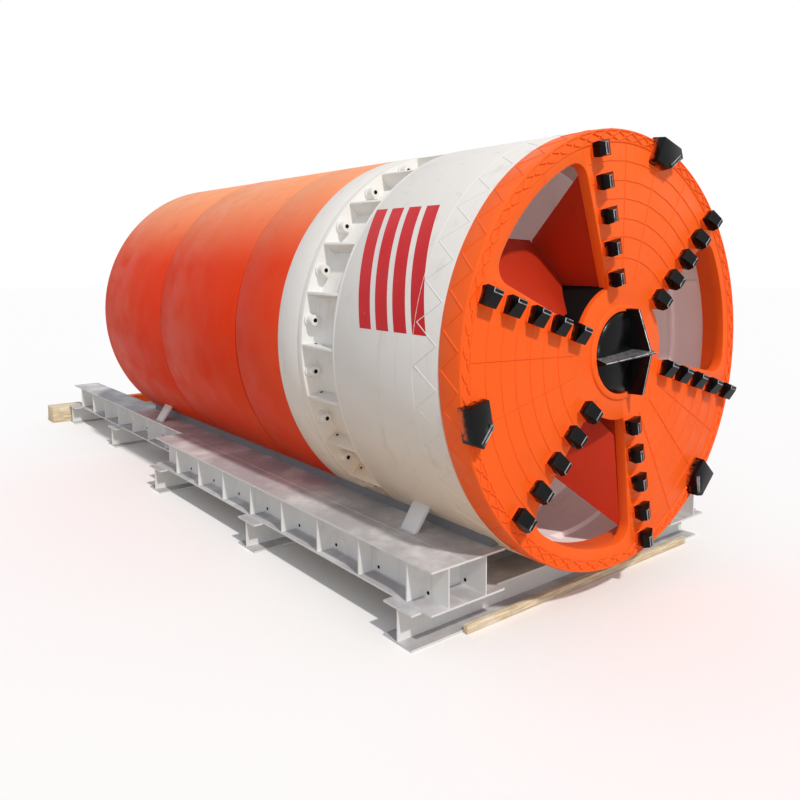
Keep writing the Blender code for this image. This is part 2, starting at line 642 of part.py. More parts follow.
def build_erector(kit):
    frame_start = ERECTOR_STATION - ERECTOR_FRAME_THICKNESS
    frame = kit.tube(
        "erector_frame", ERECTOR_RING_OUTER, ERECTOR_RING_INNER, frame_start, ERECTOR_STATION, "cream_enamel"
    )
    beam_start = THRUST_RING_STATION + THRUST_RING_THICKNESS + SEAT_GAP
    beam_end = ERECTOR_STATION - ERECTOR_FRAME_THICKNESS / 2
    inside = ERECTOR_RING_OUTER - ERECTOR_BEAM_WIDTH / 4
    half = ERECTOR_BEAM_HEIGHT / 2
    outside = inside + ERECTOR_BEAM_WIDTH * 0.8
    beam = box_mesh("erector_beam", (inside, beam_start, -half), (outside, beam_end, half))
    beams = copies_mesh("erector_beams", beam, [turn_about_axis(0), turn_about_axis(180)])
    kit.cut(frame, beams, ON_AXIS, "UNION")

    pivot = kit.pivot("erector_axis", (0, FACE_Y + ERECTOR_STATION, AXIS_HEIGHT))
    ring_start = ERECTOR_STATION + RUNNING_GAP
    ring_end = ring_start + ERECTOR_RING_THICKNESS
    ring = kit.tube(
        "erector_ring",
        ERECTOR_RING_OUTER,
        ERECTOR_RING_INNER,
        ring_start,
        ring_end,
        "orange_enamel",
        ON_AXIS,
        pivot,
    )
    half = ERECTOR_ARM_WIDTH / 2
    arm_inside = (ERECTOR_RING_INNER + ERECTOR_RING_OUTER) / 2
    arm_low = (arm_inside, ring_start + ERECTOR_RING_THICKNESS / 3, -half)
    arm_high = (ERECTOR_ARM_REACH, ring_end + ERECTOR_RING_THICKNESS, half)
    arm = box_mesh("erector_arm", arm_low, arm_high)
    kit.cut(ring, arm, ON_AXIS @ turn_about_axis(-90), "UNION")


def rib_stations(end):
    """Stations of the ribs that stand in a beam which stops at the given station."""
    count = int((end - RIB_START) / RIB_PITCH) + 1
    stations = [RIB_START + RIB_PITCH * i for i in range(count)]
    return [station for station in stations if station < end - RIB_THICKNESS]


def build_h_beam(kit, name, middle, width, end):
    """A longitudinal H-beam with rib plates on both sides of its web."""
    outline = h_outline(middle, BEAM_BOTTOM, width, BEAM_HEIGHT)
    place = Matrix.Translation((0, FACE_Y + end, 0)) @ ALONG_Y
    mesh = outline_mesh(name, outline, end - BEAM_START)
    beam = kit.place(name, mesh, place, "grey_steel")
    bottom = BEAM_BOTTOM + FLANGE_THICKNESS - RIB_SINK
    top = BEAM_TOP - FLANGE_THICKNESS + RIB_SINK
    far = width / 2 - RIB_SETBACK
    half = RIB_THICKNESS / 2
    rib = box_mesh("rib", (middle - far, -half, bottom), (middle + far, half, top))
    places = [Matrix.Translation((0, FACE_Y + station, 0)) for station in rib_stations(end)]
    kit.cut(beam, copies_mesh(f"{name}_ribs", rib, places), Matrix(), "UNION")


def facet_height(x):
    """Height of the shell's seating facet above the given distance from the middle."""
    first = math.floor(math.acos(INNER_BEAM_EDGE / SHIELD_RADIUS) / FACET) * FACET
    inner_x = SHIELD_RADIUS * math.cos(first)
    inner_z = -SHIELD_RADIUS * math.sin(first)
    slope = 1.0 / math.tan(first - FACET / 2)
    return AXIS_HEIGHT + inner_z + (x - inner_x) * slope - SEAT_GAP / math.cos(math.atan(slope))


def build_cradle(kit):
    build_cross_beams(kit)
    inner_middle = (INNER_BEAM_EDGE + INNER_BEAM_OUTER) / 2
    outer_middle = OUTER_BEAM_EDGE + OUTER_BEAM_WIDTH / 2
    for side, sign in SIDES_OF_CRADLE:
        build_h_beam(kit, f"inner_beam_{side}", sign * inner_middle, INNER_BEAM_WIDTH, INNER_BEAM_END)
        build_h_beam(kit, f"outer_beam_{side}", sign * outer_middle, OUTER_BEAM_WIDTH, OUTER_BEAM_END)
        build_bearing_bar(kit, side, sign)
        build_chocks(kit, side, sign)
        build_timber(kit, side, sign)
    half = inner_middle - WEB_THICKNESS / 2 - SEAT_GAP
    tie_low = BEAM_BOTTOM + FLANGE_THICKNESS + SEAT_GAP
    low = (-half, FACE_Y + TIE_STATION, tie_low)
    high = (half, FACE_Y + TIE_STATION + TIE_WIDTH, tie_low + TIE_HEIGHT)
    kit.place("rear_tie", box_mesh("rear_tie", low, high), Matrix(), "orange_enamel")


def build_cross_beams(kit):
    for number, (station, half_length) in enumerate(CROSS_BEAMS, 1):
        outline = h_outline(FACE_Y + station, 0.0, CROSS_WIDTH, CROSS_HEIGHT)
        name = f"cross_beam_{number}"
        mesh = outline_mesh(name, outline, 2 * half_length)
        kit.place(name, mesh, Matrix.Translation((-half_length, 0, 0)) @ ALONG_X, "grey_steel")


def build_bearing_bar(kit, side, sign):
    inner = INNER_BEAM_EDGE + SEAT_GAP
    outer = inner + BAR_WIDTH
    foot = BEAM_TOP + SEAT_GAP
    section = [(inner, foot), (outer, foot), (outer, facet_height(outer)), (inner, facet_height(inner))]
    outline = [(sign * x, z) for x, z in section][:: int(sign)]
    mesh = outline_mesh(f"bearing_bar_{side}", outline, BAR_END - BAR_START)
    place = Matrix.Translation((0, FACE_Y + BAR_END, 0)) @ ALONG_Y
    kit.place(f"bearing_bar_{side}", mesh, place, "grey_steel")


def build_chocks(kit, side, sign):
    foot = BEAM_TOP + SEAT_GAP
    top_outer = CHOCK_TOP + CHOCK_TOP_WIDTH
    section = [
        (CHOCK_FOOT, foot),
        (CHOCK_FOOT + CHOCK_FOOT_WIDTH, foot),
        (top_outer, facet_height(top_outer)),
        (CHOCK_TOP, facet_height(CHOCK_TOP)),
    ]
    outline = [(sign * x, z) for x, z in section][:: int(sign)]
    for name, station in CHOCKS:
        mesh = outline_mesh(f"chock_{name}_{side}", outline, CHOCK_WIDTH)
        place = Matrix.Translation((0, FACE_Y + station + CHOCK_WIDTH / 2, 0)) @ ALONG_Y
        kit.place(f"chock_{name}_{side}", mesh, place, "grey_steel")


def build_timber(kit, side, sign):
    ends = sorted((sign * (TIMBER_PLACE - TIMBER_LENGTH / 2), sign * (TIMBER_PLACE + TIMBER_LENGTH / 2)))
    low = (ends[0], FACE_Y + TIMBER_START, 0)
    high = (ends[1], FACE_Y + TIMBER_START + TIMBER_WIDTH, TIMBER_HEIGHT)
    kit.place(f"timber_{side}", box_mesh(f"timber_{side}", low, high), Matrix(), "pale_timber")


def main():
    clear_scene()
    kit = Kit()
    build_cutterhead(kit)
    build_shield(kit)
    build_bulkhead(kit)
    build_screw_conveyor(kit)
    build_thrust(kit)
    build_erector(kit)
    build_cradle(kit)


main()
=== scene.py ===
"""Looks of a tunnel boring machine on its launch cradle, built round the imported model."""

import json
import logging
import math
from collections.abc import Iterable, Sequence
from dataclasses import dataclass, field
from enum import Enum

import bmesh
import bpy
from mathutils import Matrix, Vector


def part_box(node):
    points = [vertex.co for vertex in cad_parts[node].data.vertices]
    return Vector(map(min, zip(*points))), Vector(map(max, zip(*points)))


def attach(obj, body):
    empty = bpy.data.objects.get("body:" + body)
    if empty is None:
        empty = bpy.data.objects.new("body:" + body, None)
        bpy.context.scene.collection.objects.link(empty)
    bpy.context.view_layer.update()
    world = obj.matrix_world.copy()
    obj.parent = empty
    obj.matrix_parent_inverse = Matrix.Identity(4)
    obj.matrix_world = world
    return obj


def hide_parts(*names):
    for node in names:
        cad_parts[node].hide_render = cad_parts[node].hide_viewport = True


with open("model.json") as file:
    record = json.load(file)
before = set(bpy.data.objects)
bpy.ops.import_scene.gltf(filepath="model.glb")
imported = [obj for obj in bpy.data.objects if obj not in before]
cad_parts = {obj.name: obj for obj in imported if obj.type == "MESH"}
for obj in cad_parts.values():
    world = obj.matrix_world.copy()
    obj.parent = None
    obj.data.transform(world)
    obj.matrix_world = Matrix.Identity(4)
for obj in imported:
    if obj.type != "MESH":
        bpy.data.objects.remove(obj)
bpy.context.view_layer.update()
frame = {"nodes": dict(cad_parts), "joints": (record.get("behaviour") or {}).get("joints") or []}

LOG = logging.getLogger("tunnel_boring_machine")
SMOOTH_ANGLE = math.radians(32)
# Radius of the core left open on the axis, so that a spun section closes without a pole
CORE = 0.02
Point = tuple[float, float]
Shape = bmesh.types.BMesh
Material = bpy.types.Material
Tree = bpy.types.NodeTree
Socket = bpy.types.NodeSocket


class Body(Enum):
    """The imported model's bodies that pieces ride on."""

    FIXED = "root"
    HEAD = "cutterhead"
    JACKS = "thrust_jacks"
    ERECTOR = "erector"
    GATE = "gate"


def linear(code: str) -> tuple[float, float, float, float]:
    """Linear colour of an sRGB hex value.

    Args:
        code: six hex digits, with or without a leading mark.

    Returns:
        Red, green, blue and alpha.
    """
    digits = code.lstrip("#")
    parts = [int(digits[i : i + 2], 16) / 255 for i in (0, 2, 4)]
    tones = [p / 12.92 if p <= 0.04045 else ((p + 0.055) / 1.055) ** 2.4 for p in parts]
    return (*tones, 1.0)


def per_metre(millimetres: float) -> float:
    """Texture scale at which a pattern repeats.

    Args:
        millimetres: about how far apart the repeats lie.

    Returns:
        The scale, for object coordinates in metres.
    """
    return 1000.0 / millimetres


def add_node(tree: Tree, kind: str, settings: dict, links: dict) -> bpy.types.Node:
    """Adds a node with its settings and links.

    Args:
        tree: the node tree.
        kind: the node's type name.
        settings: attributes, or values of inputs by name or number.
        links: output socket for each input, by name or number.

    Returns:
        The new node.
    """
    node = tree.nodes.new(kind)
    inputs = {}
    for key, value in settings.items():
        if isinstance(key, str) and hasattr(node, key):
            setattr(node, key, value)
        else:
            inputs[key] = value
    for key, value in inputs.items():
        node.inputs[key].default_value = value
    for key, socket in links.items():
        tree.links.new(socket, node.inputs[key])
    return node


def new_tree(name: str) -> tuple[Material, Tree, bpy.types.Node]:
    """Makes an empty material.

    Args:
        name: the material's name.

    Returns:
        The material, its node tree and its Principled shader.
    """
    material = bpy.data.materials.new(name)
    material.use_nodes = True
    return material, material.node_tree, material.node_tree.nodes["Principled BSDF"]


def ramp(tree: Tree, value: Socket, low: float, high: float) -> Socket:
    """Stretches a value to the range from 0 to 1.

    Args:
        tree: the node tree.
        value: the value.
        low: what gives 0.
        high: what gives 1; it may be less than low.

    Returns:
        The stretched value, eased at both ends.
    """
    settings = {"interpolation_type": "SMOOTHSTEP", "From Min": low, "From Max": high}
    return add_node(tree, "ShaderNodeMapRange", settings, {"Value": value}).outputs["Result"]


def noise(tree: Tree, at: Socket, size_mm: float, detail: float) -> Socket:
    """Adds noise.

    Args:
        tree: the node tree.
        at: the coordinates.
        size_mm: about how wide a blotch is.
        detail: how many finer layers it has.

    Returns:
        The noise, mostly from 0.3 to 0.7.
    """
    settings = {"Scale": per_metre(size_mm), "Detail": detail, "Roughness": 0.6}
    return add_node(tree, "ShaderNodeTexNoise", settings, {"Vector": at}).outputs[0]


def between(tree: Tree, share: Socket, low: float, high: float) -> Socket:
    """A value that runs from low to high.

    Args:
        tree: the node tree.
        share: how far it has run, from 0 to 1.
        low: its value at 0.
        high: its value at 1.

    Returns:
        The value.
    """
    settings = {"To Min": low, "To Max": high}
    return add_node(tree, "ShaderNodeMapRange", settings, {"Value": share}).outputs["Result"]


def blend_colour(
    tree: Tree,
    share: Socket,
    under: Socket | tuple,
    over: Socket | tuple,
) -> Socket:
    """One colour over another by a share from 0 to 1.

    Args:
        tree: the node tree.
        share: how much of the upper colour shows.
        under: the lower colour, a socket or a value.
        over: the upper colour, a socket or a value.

    Returns:
        The blended colour.
    """
    settings, links = {"data_type": "RGBA"}, {0: share}
    for number, colour in ((6, under), (7, over)):
        if isinstance(colour, tuple):
            settings[number] = colour
        else:
            links[number] = colour
    return add_node(tree, "ShaderNodeMix", settings, links).outputs[2]


def product(tree: Tree, a: Socket, b: Socket | float) -> Socket:
    """Multiplies two values.

    Args:
        tree: the node tree.
        a: the first value.
        b: the second, a socket or a number.

    Returns:
        The product.
    """
    if isinstance(b, float):
        return add_node(tree, "ShaderNodeMath", {"operation": "MULTIPLY", 1: b}, {0: a}).outputs[0]
    return add_node(tree, "ShaderNodeMath", {"operation": "MULTIPLY"}, {0: a, 1: b}).outputs[0]


def seen_itself(tree: Tree) -> Socket:
    """Tells the rays that show a surface from those that only gather its light.

    Args:
        tree: the node tree.

    Returns:
        1 for camera, mirror and see-through rays, and 0 for the rest.
    """
    path = add_node(tree, "ShaderNodeLightPath", {}, {}).outputs
    shown = path["Is Camera Ray"]
    for ray in ("Is Glossy Ray", "Is Transmission Ray"):
        shown = add_node(
            tree, "ShaderNodeMath", {"operation": "MAXIMUM"}, {0: shown, 1: path[ray]}
        ).outputs[0]
    return shown


@dataclass(frozen=True)
class Enamel:
    """Enamel sprayed over steel plate: glossy at first, chalked by the sun, run over by rain and dust; with a
    painted highlight toward the top, painted shade on faces that point up, and painted light near the bottom.
    """

    name: str
    fresh: str
    faded_and_lit: str
    dirt: str
    chip: str
    roughness: float = 0.38
    coat: float = 0.15
    patch_mm: float = 900.0
    fade_and_light_share: float = 0.55
    streak_share: float = 0.35
    dirt_share: float = 0.35
    chip_share: float = 0.5
    # The height band over which the colour turns lighter: chalking by the sun, and a painted highlight on the
    # top
    bleach_and_light_low: float = 1.9
    bleach_and_light_high: float = 3.5
    peel_mm: float = 14.0
    peel: float = 0.10
    specular: float = 0.22
    patch_share: float = 0.45
    # Painted shade on faces that point up: its colour and share
    up_face_shade: str = "#77707A"
    up_face_shade_share: float = 0.0
    # Painted light near the bottom: its colour, its share and the height where it ends
    low_painted_light: str = "#C8B08C"
    low_painted_light_share: float = 0.0
    low_painted_light_top: float = 1.75

    def material(self) -> Material:
        """The finish as a material."""
        material, tree, shader = new_tree(self.name)
        at = add_node(tree, "ShaderNodeTexCoord", {}, {}).outputs["Object"]
        height = add_node(tree, "ShaderNodeSeparateXYZ", {}, {0: at}).outputs["Z"]
        patches = ramp(tree, noise(tree, at, self.patch_mm, 5.0), 0.35, 0.75)
        # Lighter toward the top: partly chalking by the sun, partly a painted highlight where the light falls
        bleached_and_lit_top = ramp(tree, height, self.bleach_and_light_low, self.bleach_and_light_high)
        patchy = product(tree, patches, self.patch_share)
        fade_and_light = add_node(tree, "ShaderNodeMath", {"operation": "MAXIMUM"}, {0: patchy, 1: bleached_and_lit_top})
        colour = blend_colour(
            tree, product(tree, fade_and_light.outputs[0], self.fade_and_light_share), linear(self.fresh), linear(self.faded_and_lit)
        )
        if self.up_face_shade_share:
            # Painted shade: faces that point up are darkened toward a mauve grey, in patches
            facing = add_node(tree, "ShaderNodeNewGeometry", {}, {}).outputs["Normal"]
            up = ramp(tree, add_node(tree, "ShaderNodeSeparateXYZ", {}, {0: facing}).outputs["Z"], 0.5, 0.95)
            up_face_shade = product(tree, up, ramp(tree, noise(tree, at, 450.0, 5.0), 0.25, 0.60))
            up_face_shade = product(tree, up_face_shade, self.up_face_shade_share)
            colour = blend_colour(tree, up_face_shade, colour, linear(self.up_face_shade))
        # Painted light near the bottom: on the off-white a warm glow as if thrown up off the floor, on the
        # orange body a painted shade of deep orange
        low = ramp(tree, height, self.low_painted_light_top, 0.45)
        colour = blend_colour(tree, product(tree, low, self.low_painted_light_share), colour, linear(self.low_painted_light))
        # Rain runs down, so its streaks are far longer than they are wide
        drawn = add_node(tree, "ShaderNodeMapping", {"Scale": (1.0, 1.0, 0.10)}, {"Vector": at}).outputs[0]
        streaks = ramp(tree, noise(tree, drawn, 90.0, 4.0), 0.56, 0.76)
        colour = blend_colour(tree, product(tree, streaks, self.streak_share), colour, linear(self.dirt))
        smudge = ramp(tree, noise(tree, at, 260.0, 6.0), 0.55, 0.80)
        colour = blend_colour(tree, product(tree, smudge, self.dirt_share), colour, linear(self.dirt))
        # Chips are a few millimetres wide; they are drawn at 22 mm so that they show
        chips = ramp(tree, noise(tree, at, 22.0, 2.0), 0.74, 0.77)
        clustered = product(tree, chips, ramp(tree, noise(tree, at, 400.0, 2.0), 0.50, 0.66))
        colour = blend_colour(tree, product(tree, clustered, self.chip_share), colour, linear(self.chip))
        tree.links.new(colour, shader.inputs["Base Color"])
        dull = ramp(tree, noise(tree, at, 320.0, 5.0), 0.3, 0.8)
        rough = between(tree, dull, self.roughness, self.roughness + 0.22)
        tree.links.new(rough, shader.inputs["Roughness"])
        shader.inputs["Coat Weight"].default_value = self.coat
        shader.inputs["Coat Roughness"].default_value = 0.12
        shader.inputs["Specular IOR Level"].default_value = self.specular
        peel = noise(tree, at, self.peel_mm, 3.0)
        settings = {"Strength": self.peel, "Distance": 0.004}
        bump = add_node(tree, "ShaderNodeBump", settings, {"Height": peel})
        links = {"Height": noise(tree, at, 600.0, 2.0), "Normal": bump.outputs[0]}
        bump = add_node(tree, "ShaderNodeBump", {"Strength": 0.22, "Distance": 0.03}, links)
        tree.links.new(bump.outputs[0], shader.inputs["Normal"])
        return material


@dataclass(frozen=True)
class ToolBlack:
    """Thick black gloss paint on forged cutting tools, scuffed to bare steel in places."""

    name: str = "tool_black_gloss"
    paint: str = "#060607"
    grey: str = "#121315"
    steel: str = "#7C7F84"
    overspray: str = "#F2672A"
    roughness: float = 0.24
    face: float = -4.575
    dusting: float = 0.9

    def material(self) -> Material:
        """The finish as a material."""
        material, tree, shader = new_tree(self.name)
        at = add_node(tree, "ShaderNodeTexCoord", {}, {}).outputs["Object"]
        scuffs = ramp(tree, noise(tree, at, 120.0, 8.0), 0.60, 0.78)
        bare = ramp(tree, noise(tree, at, 30.0, 6.0), 0.74, 0.79)
        colour = blend_colour(tree, product(tree, scuffs, 0.6), linear(self.paint), linear(self.grey))
        colour = blend_colour(tree, product(tree, bare, 0.6), colour, linear(self.steel))
        # The head's orange was sprayed after the tools were welded on, so it has dusted their roots
        depth = add_node(tree, "ShaderNodeSeparateXYZ", {}, {0: at}).outputs["Y"]
        root = ramp(tree, depth, self.face - 0.050, self.face - 0.004)
        dusted = product(tree, root, ramp(tree, noise(tree, at, 70.0, 3.0), 0.42, 0.62))
        colour = blend_colour(tree, product(tree, dusted, self.dusting), colour, linear(self.overspray))
        tree.links.new(colour, shader.inputs["Base Color"])
        tree.links.new(between(tree, scuffs, self.roughness, 0.5), shader.inputs["Roughness"])
        tree.links.new(product(tree, bare, 0.8), shader.inputs["Metallic"])
        shader.inputs["Coat Weight"].default_value = 0.02
        shader.inputs["Coat Roughness"].default_value = 0.08
        shader.inputs["Specular IOR Level"].default_value = 0.16
        settings = {"Strength": 0.3, "Distance": 0.006}
        bump = add_node(tree, "ShaderNodeBump", settings, {"Height": noise(tree, at, 40.0, 4.0)})
        tree.links.new(bump.outputs[0], shader.inputs["Normal"])
        return material


@dataclass(frozen=True)
class Steel:
    """Machined, ground or chromed steel, with handling marks."""

    name: str
    bright: str
    dull: str
    roughness: float = 0.28
    metallic: float = 1.0
    patch_mm: float = 150.0

    def material(self) -> Material:
        """The finish as a material."""
        material, tree, shader = new_tree(self.name)
        at = add_node(tree, "ShaderNodeTexCoord", {}, {}).outputs["Object"]
        worn = ramp(tree, noise(tree, at, self.patch_mm, 7.0), 0.4, 0.75)
        colour = blend_colour(tree, worn, linear(self.bright), linear(self.dull))
        tree.links.new(colour, shader.inputs["Base Color"])
        rough = between(tree, worn, self.roughness, self.roughness + 0.25)
        tree.links.new(rough, shader.inputs["Roughness"])
        shader.inputs["Metallic"].default_value = self.metallic
        settings = {"Strength": 0.15, "Distance": 0.002}
        bump = add_node(tree, "ShaderNodeBump", settings, {"Height": noise(tree, at, 9.0, 4.0)})
        tree.links.new(bump.outputs[0], shader.inputs["Normal"])
        return material


@dataclass(frozen=True)
class Rubber:
    """Moulded rubber seal: matt, near black, dusty in patches."""

    name: str = "seal_rubber"
    base: str = "#191614"
    dust: str = "#5A4438"

    def material(self) -> Material:
        """The finish as a material."""
        material, tree, shader = new_tree(self.name)
        at = add_node(tree, "ShaderNodeTexCoord", {}, {}).outputs["Object"]
        dusty = ramp(tree, noise(tree, at, 200.0, 6.0), 0.5, 0.85)
        colour = blend_colour(tree, product(tree, dusty, 0.5), linear(self.base), linear(self.dust))
        tree.links.new(colour, shader.inputs["Base Color"])
        shader.inputs["Roughness"].default_value = 0.75
        shader.inputs["Specular IOR Level"].default_value = 0.15
        settings = {"Strength": 0.2, "Distance": 0.002}
        bump = add_node(tree, "ShaderNodeBump", settings, {"Height": noise(tree, at, 8.0, 3.0)})
        tree.links.new(bump.outputs[0], shader.inputs["Normal"])
        return material


@dataclass(frozen=True)
class Timber:
    """Rough-sawn softwood: grain lines along the length, saw marks across, greyed ends."""

    name: str = "sawn_softwood"
    pale: str = "#EBE0CA"
    dark: str = "#CDB58C"
    grey: str = "#9A948A"
    grain_mm: float = 14.0

    def material(self) -> Material:
        """The finish as a material."""
        material, tree, shader = new_tree(self.name)
        at = add_node(tree, "ShaderNodeTexCoord", {}, {}).outputs["Object"]
        drawn = add_node(tree, "ShaderNodeMapping", {"Scale": (0.06, 1.0, 1.0)}, {"Vector": at}).outputs[0]
        grain = ramp(tree, noise(tree, drawn, self.grain_mm, 6.0), 0.35, 0.65)
        colour = blend_colour(tree, grain, linear(self.pale), linear(self.dark))
        weather = ramp(tree, noise(tree, at, 180.0, 5.0), 0.5, 0.8)
        colour = blend_colour(tree, product(tree, weather, 0.6), colour, linear(self.grey))
        tree.links.new(colour, shader.inputs["Base Color"])
        shader.inputs["Roughness"].default_value = 0.85
        settings = {"Strength": 0.5, "Distance": 0.003}
        bump = add_node(tree, "ShaderNodeBump", settings, {"Height": grain})
        tree.links.new(bump.outputs[0], shader.inputs["Normal"])
        return material


class Finishes:
    """Every material of the machine, made once."""

    def __init__(self) -> None:
        """Makes the materials."""
        self.head_orange = Enamel(
            "orange_enamel_head", fresh="#F8611A", faded_and_lit="#FC6E26", dirt="#C24A1C", chip="#7A3A24",
            roughness=0.42, coat=0.03, patch_mm=700.0, fade_and_light_share=0.55, streak_share=0.18,
            dirt_share=0.15, chip_share=0.4,
        ).material()
        # Painted shade: a deeper orange-red copy of the head's orange, for the legs' walls and the scoops
        # that the light reaches less
        self.head_orange_shade = Enamel(
            "orange_enamel_painted_shade", fresh="#B52C12", faded_and_lit="#C23A18", dirt="#8A2812", chip="#5E2415",
            roughness=0.5, coat=0.0, patch_mm=500.0, fade_and_light_share=0.5, streak_share=0.25, dirt_share=0.3,
            chip_share=0.4,
        ).material()
        # Its faded colour is partly the lit top's, a painted highlight; its low light is a painted shade
        self.body_orange = Enamel(
            "orange_enamel_body", fresh="#E0360C", faded_and_lit="#F6A676", dirt="#BE6636", chip="#A8512F",
            roughness=0.42, coat=0.0, patch_mm=1400.0, fade_and_light_share=0.92, streak_share=0.3,
            dirt_share=0.28, chip_share=0.3, bleach_and_light_low=2.35, bleach_and_light_high=3.42, low_painted_light="#8A3A20",
            low_painted_light_share=0.35, low_painted_light_top=1.3, patch_share=0.1, specular=0.07,
        ).material()
        # Its low light is a painted warm glow off the floor
        self.cream = Enamel(
            "off_white_enamel", fresh="#E4E4E3", faded_and_lit="#E9E5DE", dirt="#BBA88F", chip="#8A6A50",
            roughness=0.38, coat=0.03, patch_mm=800.0, fade_and_light_share=0.7, streak_share=0.28,
            dirt_share=0.28, chip_share=0.6, low_painted_light="#E0BC8C", low_painted_light_share=0.6, low_painted_light_top=1.9,
            specular=0.14,
        ).material()
        self.chamber = Enamel(
            "chamber_primer", fresh="#F3E6E3", faded_and_lit="#F7EEEB", dirt="#B89A90", chip="#8B7166",
            roughness=0.55, coat=0.0, patch_mm=500.0, fade_and_light_share=0.5, streak_share=0.2, dirt_share=0.25,
            chip_share=0.3,
        ).material()
        # Painted shade on faces that point up, and a slightly lighter painted top
        self.beam_grey = Enamel(
            "cradle_grey_primer", fresh="#DDDEDE", faded_and_lit="#E0DCD6", dirt="#B3A39C", chip="#7B6A62",
            roughness=0.55, coat=0.0, patch_mm=700.0, fade_and_light_share=0.5, streak_share=0.25, dirt_share=0.4,
            chip_share=0.6, bleach_and_light_low=0.3, bleach_and_light_high=1.2, up_face_shade_share=0.55,
        ).material()
        # Painted shade: the bearing bars are a dark grey so that they read as the shadowed gap under the
        # shell
        self.bar_shade_grey = Enamel(
            "bearing_bar_painted_shade", fresh="#77767A", faded_and_lit="#827E80", dirt="#5E5654", chip="#4E4540",
            roughness=0.65, coat=0.0, patch_mm=500.0, fade_and_light_share=0.5, streak_share=0.3, dirt_share=0.5,
            chip_share=0.5,
        ).material()
        self.sign_red = Enamel(
            "red_enamel", fresh="#C4101C", faded_and_lit="#D22A30", dirt="#8E1518", chip="#D8B9A8",
            roughness=0.35, coat=0.03, patch_mm=500.0, fade_and_light_share=0.7, streak_share=0.15, dirt_share=0.2,
            chip_share=0.7,
        ).material()
        self.tool_black = ToolBlack().material()
        self.bit_black = ToolBlack("bit_black_gloss", dusting=0.0).material()
        # Bare steel for worn ridges and bars, and for the painted highlight on the bit's upper flank
        self.worn_edge_and_highlight = Steel("tool_worn_edge_and_highlight", "#A9ABAF", "#2E2F32", 0.30, 0.8, 40.0).material()
        self.chrome = Steel("hard_chrome", "#D4D6DA", "#A9ABB0", 0.12).material()
        self.dark_steel = Steel("drive_casting", "#5B6268", "#3C4044", 0.45, 0.6, 300.0).material()
        self.rubber = Rubber().material()
        # Near black painted shadow, made with the rubber finish, for holes, the hub's side and the chamber's
        # port
        self.shadow_black = Rubber("hole_shadow", "#050404", "#0C0A09").material()
        self.timber = Timber().material()


@dataclass
class Station:
    """The machine's axis, radius and cutting face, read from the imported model."""

    face: float
    height: float
    radius: float

    @staticmethod
    def read() -> "Station":
        """Reads them from the head's joint and the tail's box."""
        spin = next(j for j in frame["joints"] if j["name"] == "cutterhead_spin")
        return Station(spin["pos_m"][1], spin["pos_m"][2], Station.half_width("tail_rear"))

    @staticmethod
    def half_width(node: str) -> float:
        """Half of a node's width across the machine.

        Args:
            node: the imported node.

        Returns:
            The distance, which is a round node's radius.
        """
        low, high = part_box(node)
        return (high[0] - low[0]) / 2

    def at(self, radius: float, degrees: float, behind: float) -> Vector:
        """The point at a station of the machine.

        Args:
            radius: its distance from the axis.
            degrees: its angle from +X toward +Z.
            behind: how far it lies behind the face.

        Returns:
            The point in the frame.
        """
        turn = math.radians(degrees)
        return Vector((radius * math.cos(turn), self.face + behind, self.height + radius * math.sin(turn)))

    def turned(self, degrees: float) -> Matrix:
        """The move that lays local X along a radius of the face.

        Args:
            degrees: the radius's angle from +X toward +Z.

        Returns:
            The move.
        """
        turn = Matrix.Rotation(-math.radians(degrees), 4, "Y")
        return Matrix.Translation((0, self.face, self.height)) @ turn

    def span(self, node: str) -> tuple[float, float]:
        """Where a node starts and ends.

        Args:
            node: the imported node.

        Returns:
            Both distances behind the face.
        """
        low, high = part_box(node)
        return low[1] - self.face, high[1] - self.face


@dataclass
class Shop:
    """Makes pieces and hangs them on the bodies that they ride on."""

    station: Station
    finishes: Finishes
    made: int = field(default=0)

    def piece(
        self,
        name: str,
        shape: Shape,
        materials: Sequence[Material],
        body: Body,
        slot: str,
        replaced: Iterable[str] = (),
        angle: float = SMOOTH_ANGLE,
    ) -> bpy.types.Object:
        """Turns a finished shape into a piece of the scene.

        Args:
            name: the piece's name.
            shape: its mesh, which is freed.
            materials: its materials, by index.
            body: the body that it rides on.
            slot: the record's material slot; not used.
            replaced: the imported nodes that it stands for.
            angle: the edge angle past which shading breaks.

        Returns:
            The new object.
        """
        mesh = bpy.data.meshes.new(name)
        shape.to_mesh(mesh)
        shape.free()
        mesh.shade_smooth()
        mesh.set_sharp_from_angle(angle=angle)
        for material in materials:
            mesh.materials.append(material)
        piece = bpy.data.objects.new(name, mesh)
        bpy.context.scene.collection.objects.link(piece)
        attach(piece, body.value)
        nodes = tuple(replaced)
        if nodes:
            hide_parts(*nodes)
        self.made += 1
        LOG.info("piece %d: %s, %d faces", self.made, name, len(mesh.polygons))
        return piece

    def dress(self, node: str, material: Material) -> None:
        """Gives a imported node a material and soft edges.

        Args:
            node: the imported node.
            material: its material.
        """
        obj = frame["nodes"][node]
        obj.data.materials.clear()
        obj.data.materials.append(material)
        bevel = obj.modifiers.new("SoftEdges", "BEVEL")
        bevel.width = 0.0025
        bevel.segments = 2
        bevel.limit_method = "ANGLE"
        bevel.angle_limit = math.radians(40)


def grow(shape: Shape, face: bmesh.types.BMFace, move: Sequence[float]) -> list:
    """Extrudes a face.

    Args:
        shape: the shape that the face belongs to.
        face: the face, alone or part of a closed shape.
        move: how far its copy goes.

    Returns:
        The vertices of the copy.
    """
    closed = all(len(edge.link_faces) == 2 for edge in face.edges)
    grown = bmesh.ops.extrude_face_region(shape, geom=[face])
    verts = [v for v in grown["geom"] if isinstance(v, bmesh.types.BMVert)]
    if closed and face.is_valid:
        bmesh.ops.delete(shape, geom=[face], context="FACES_ONLY")
    bmesh.ops.translate(shape, vec=move, verts=verts)
    return verts


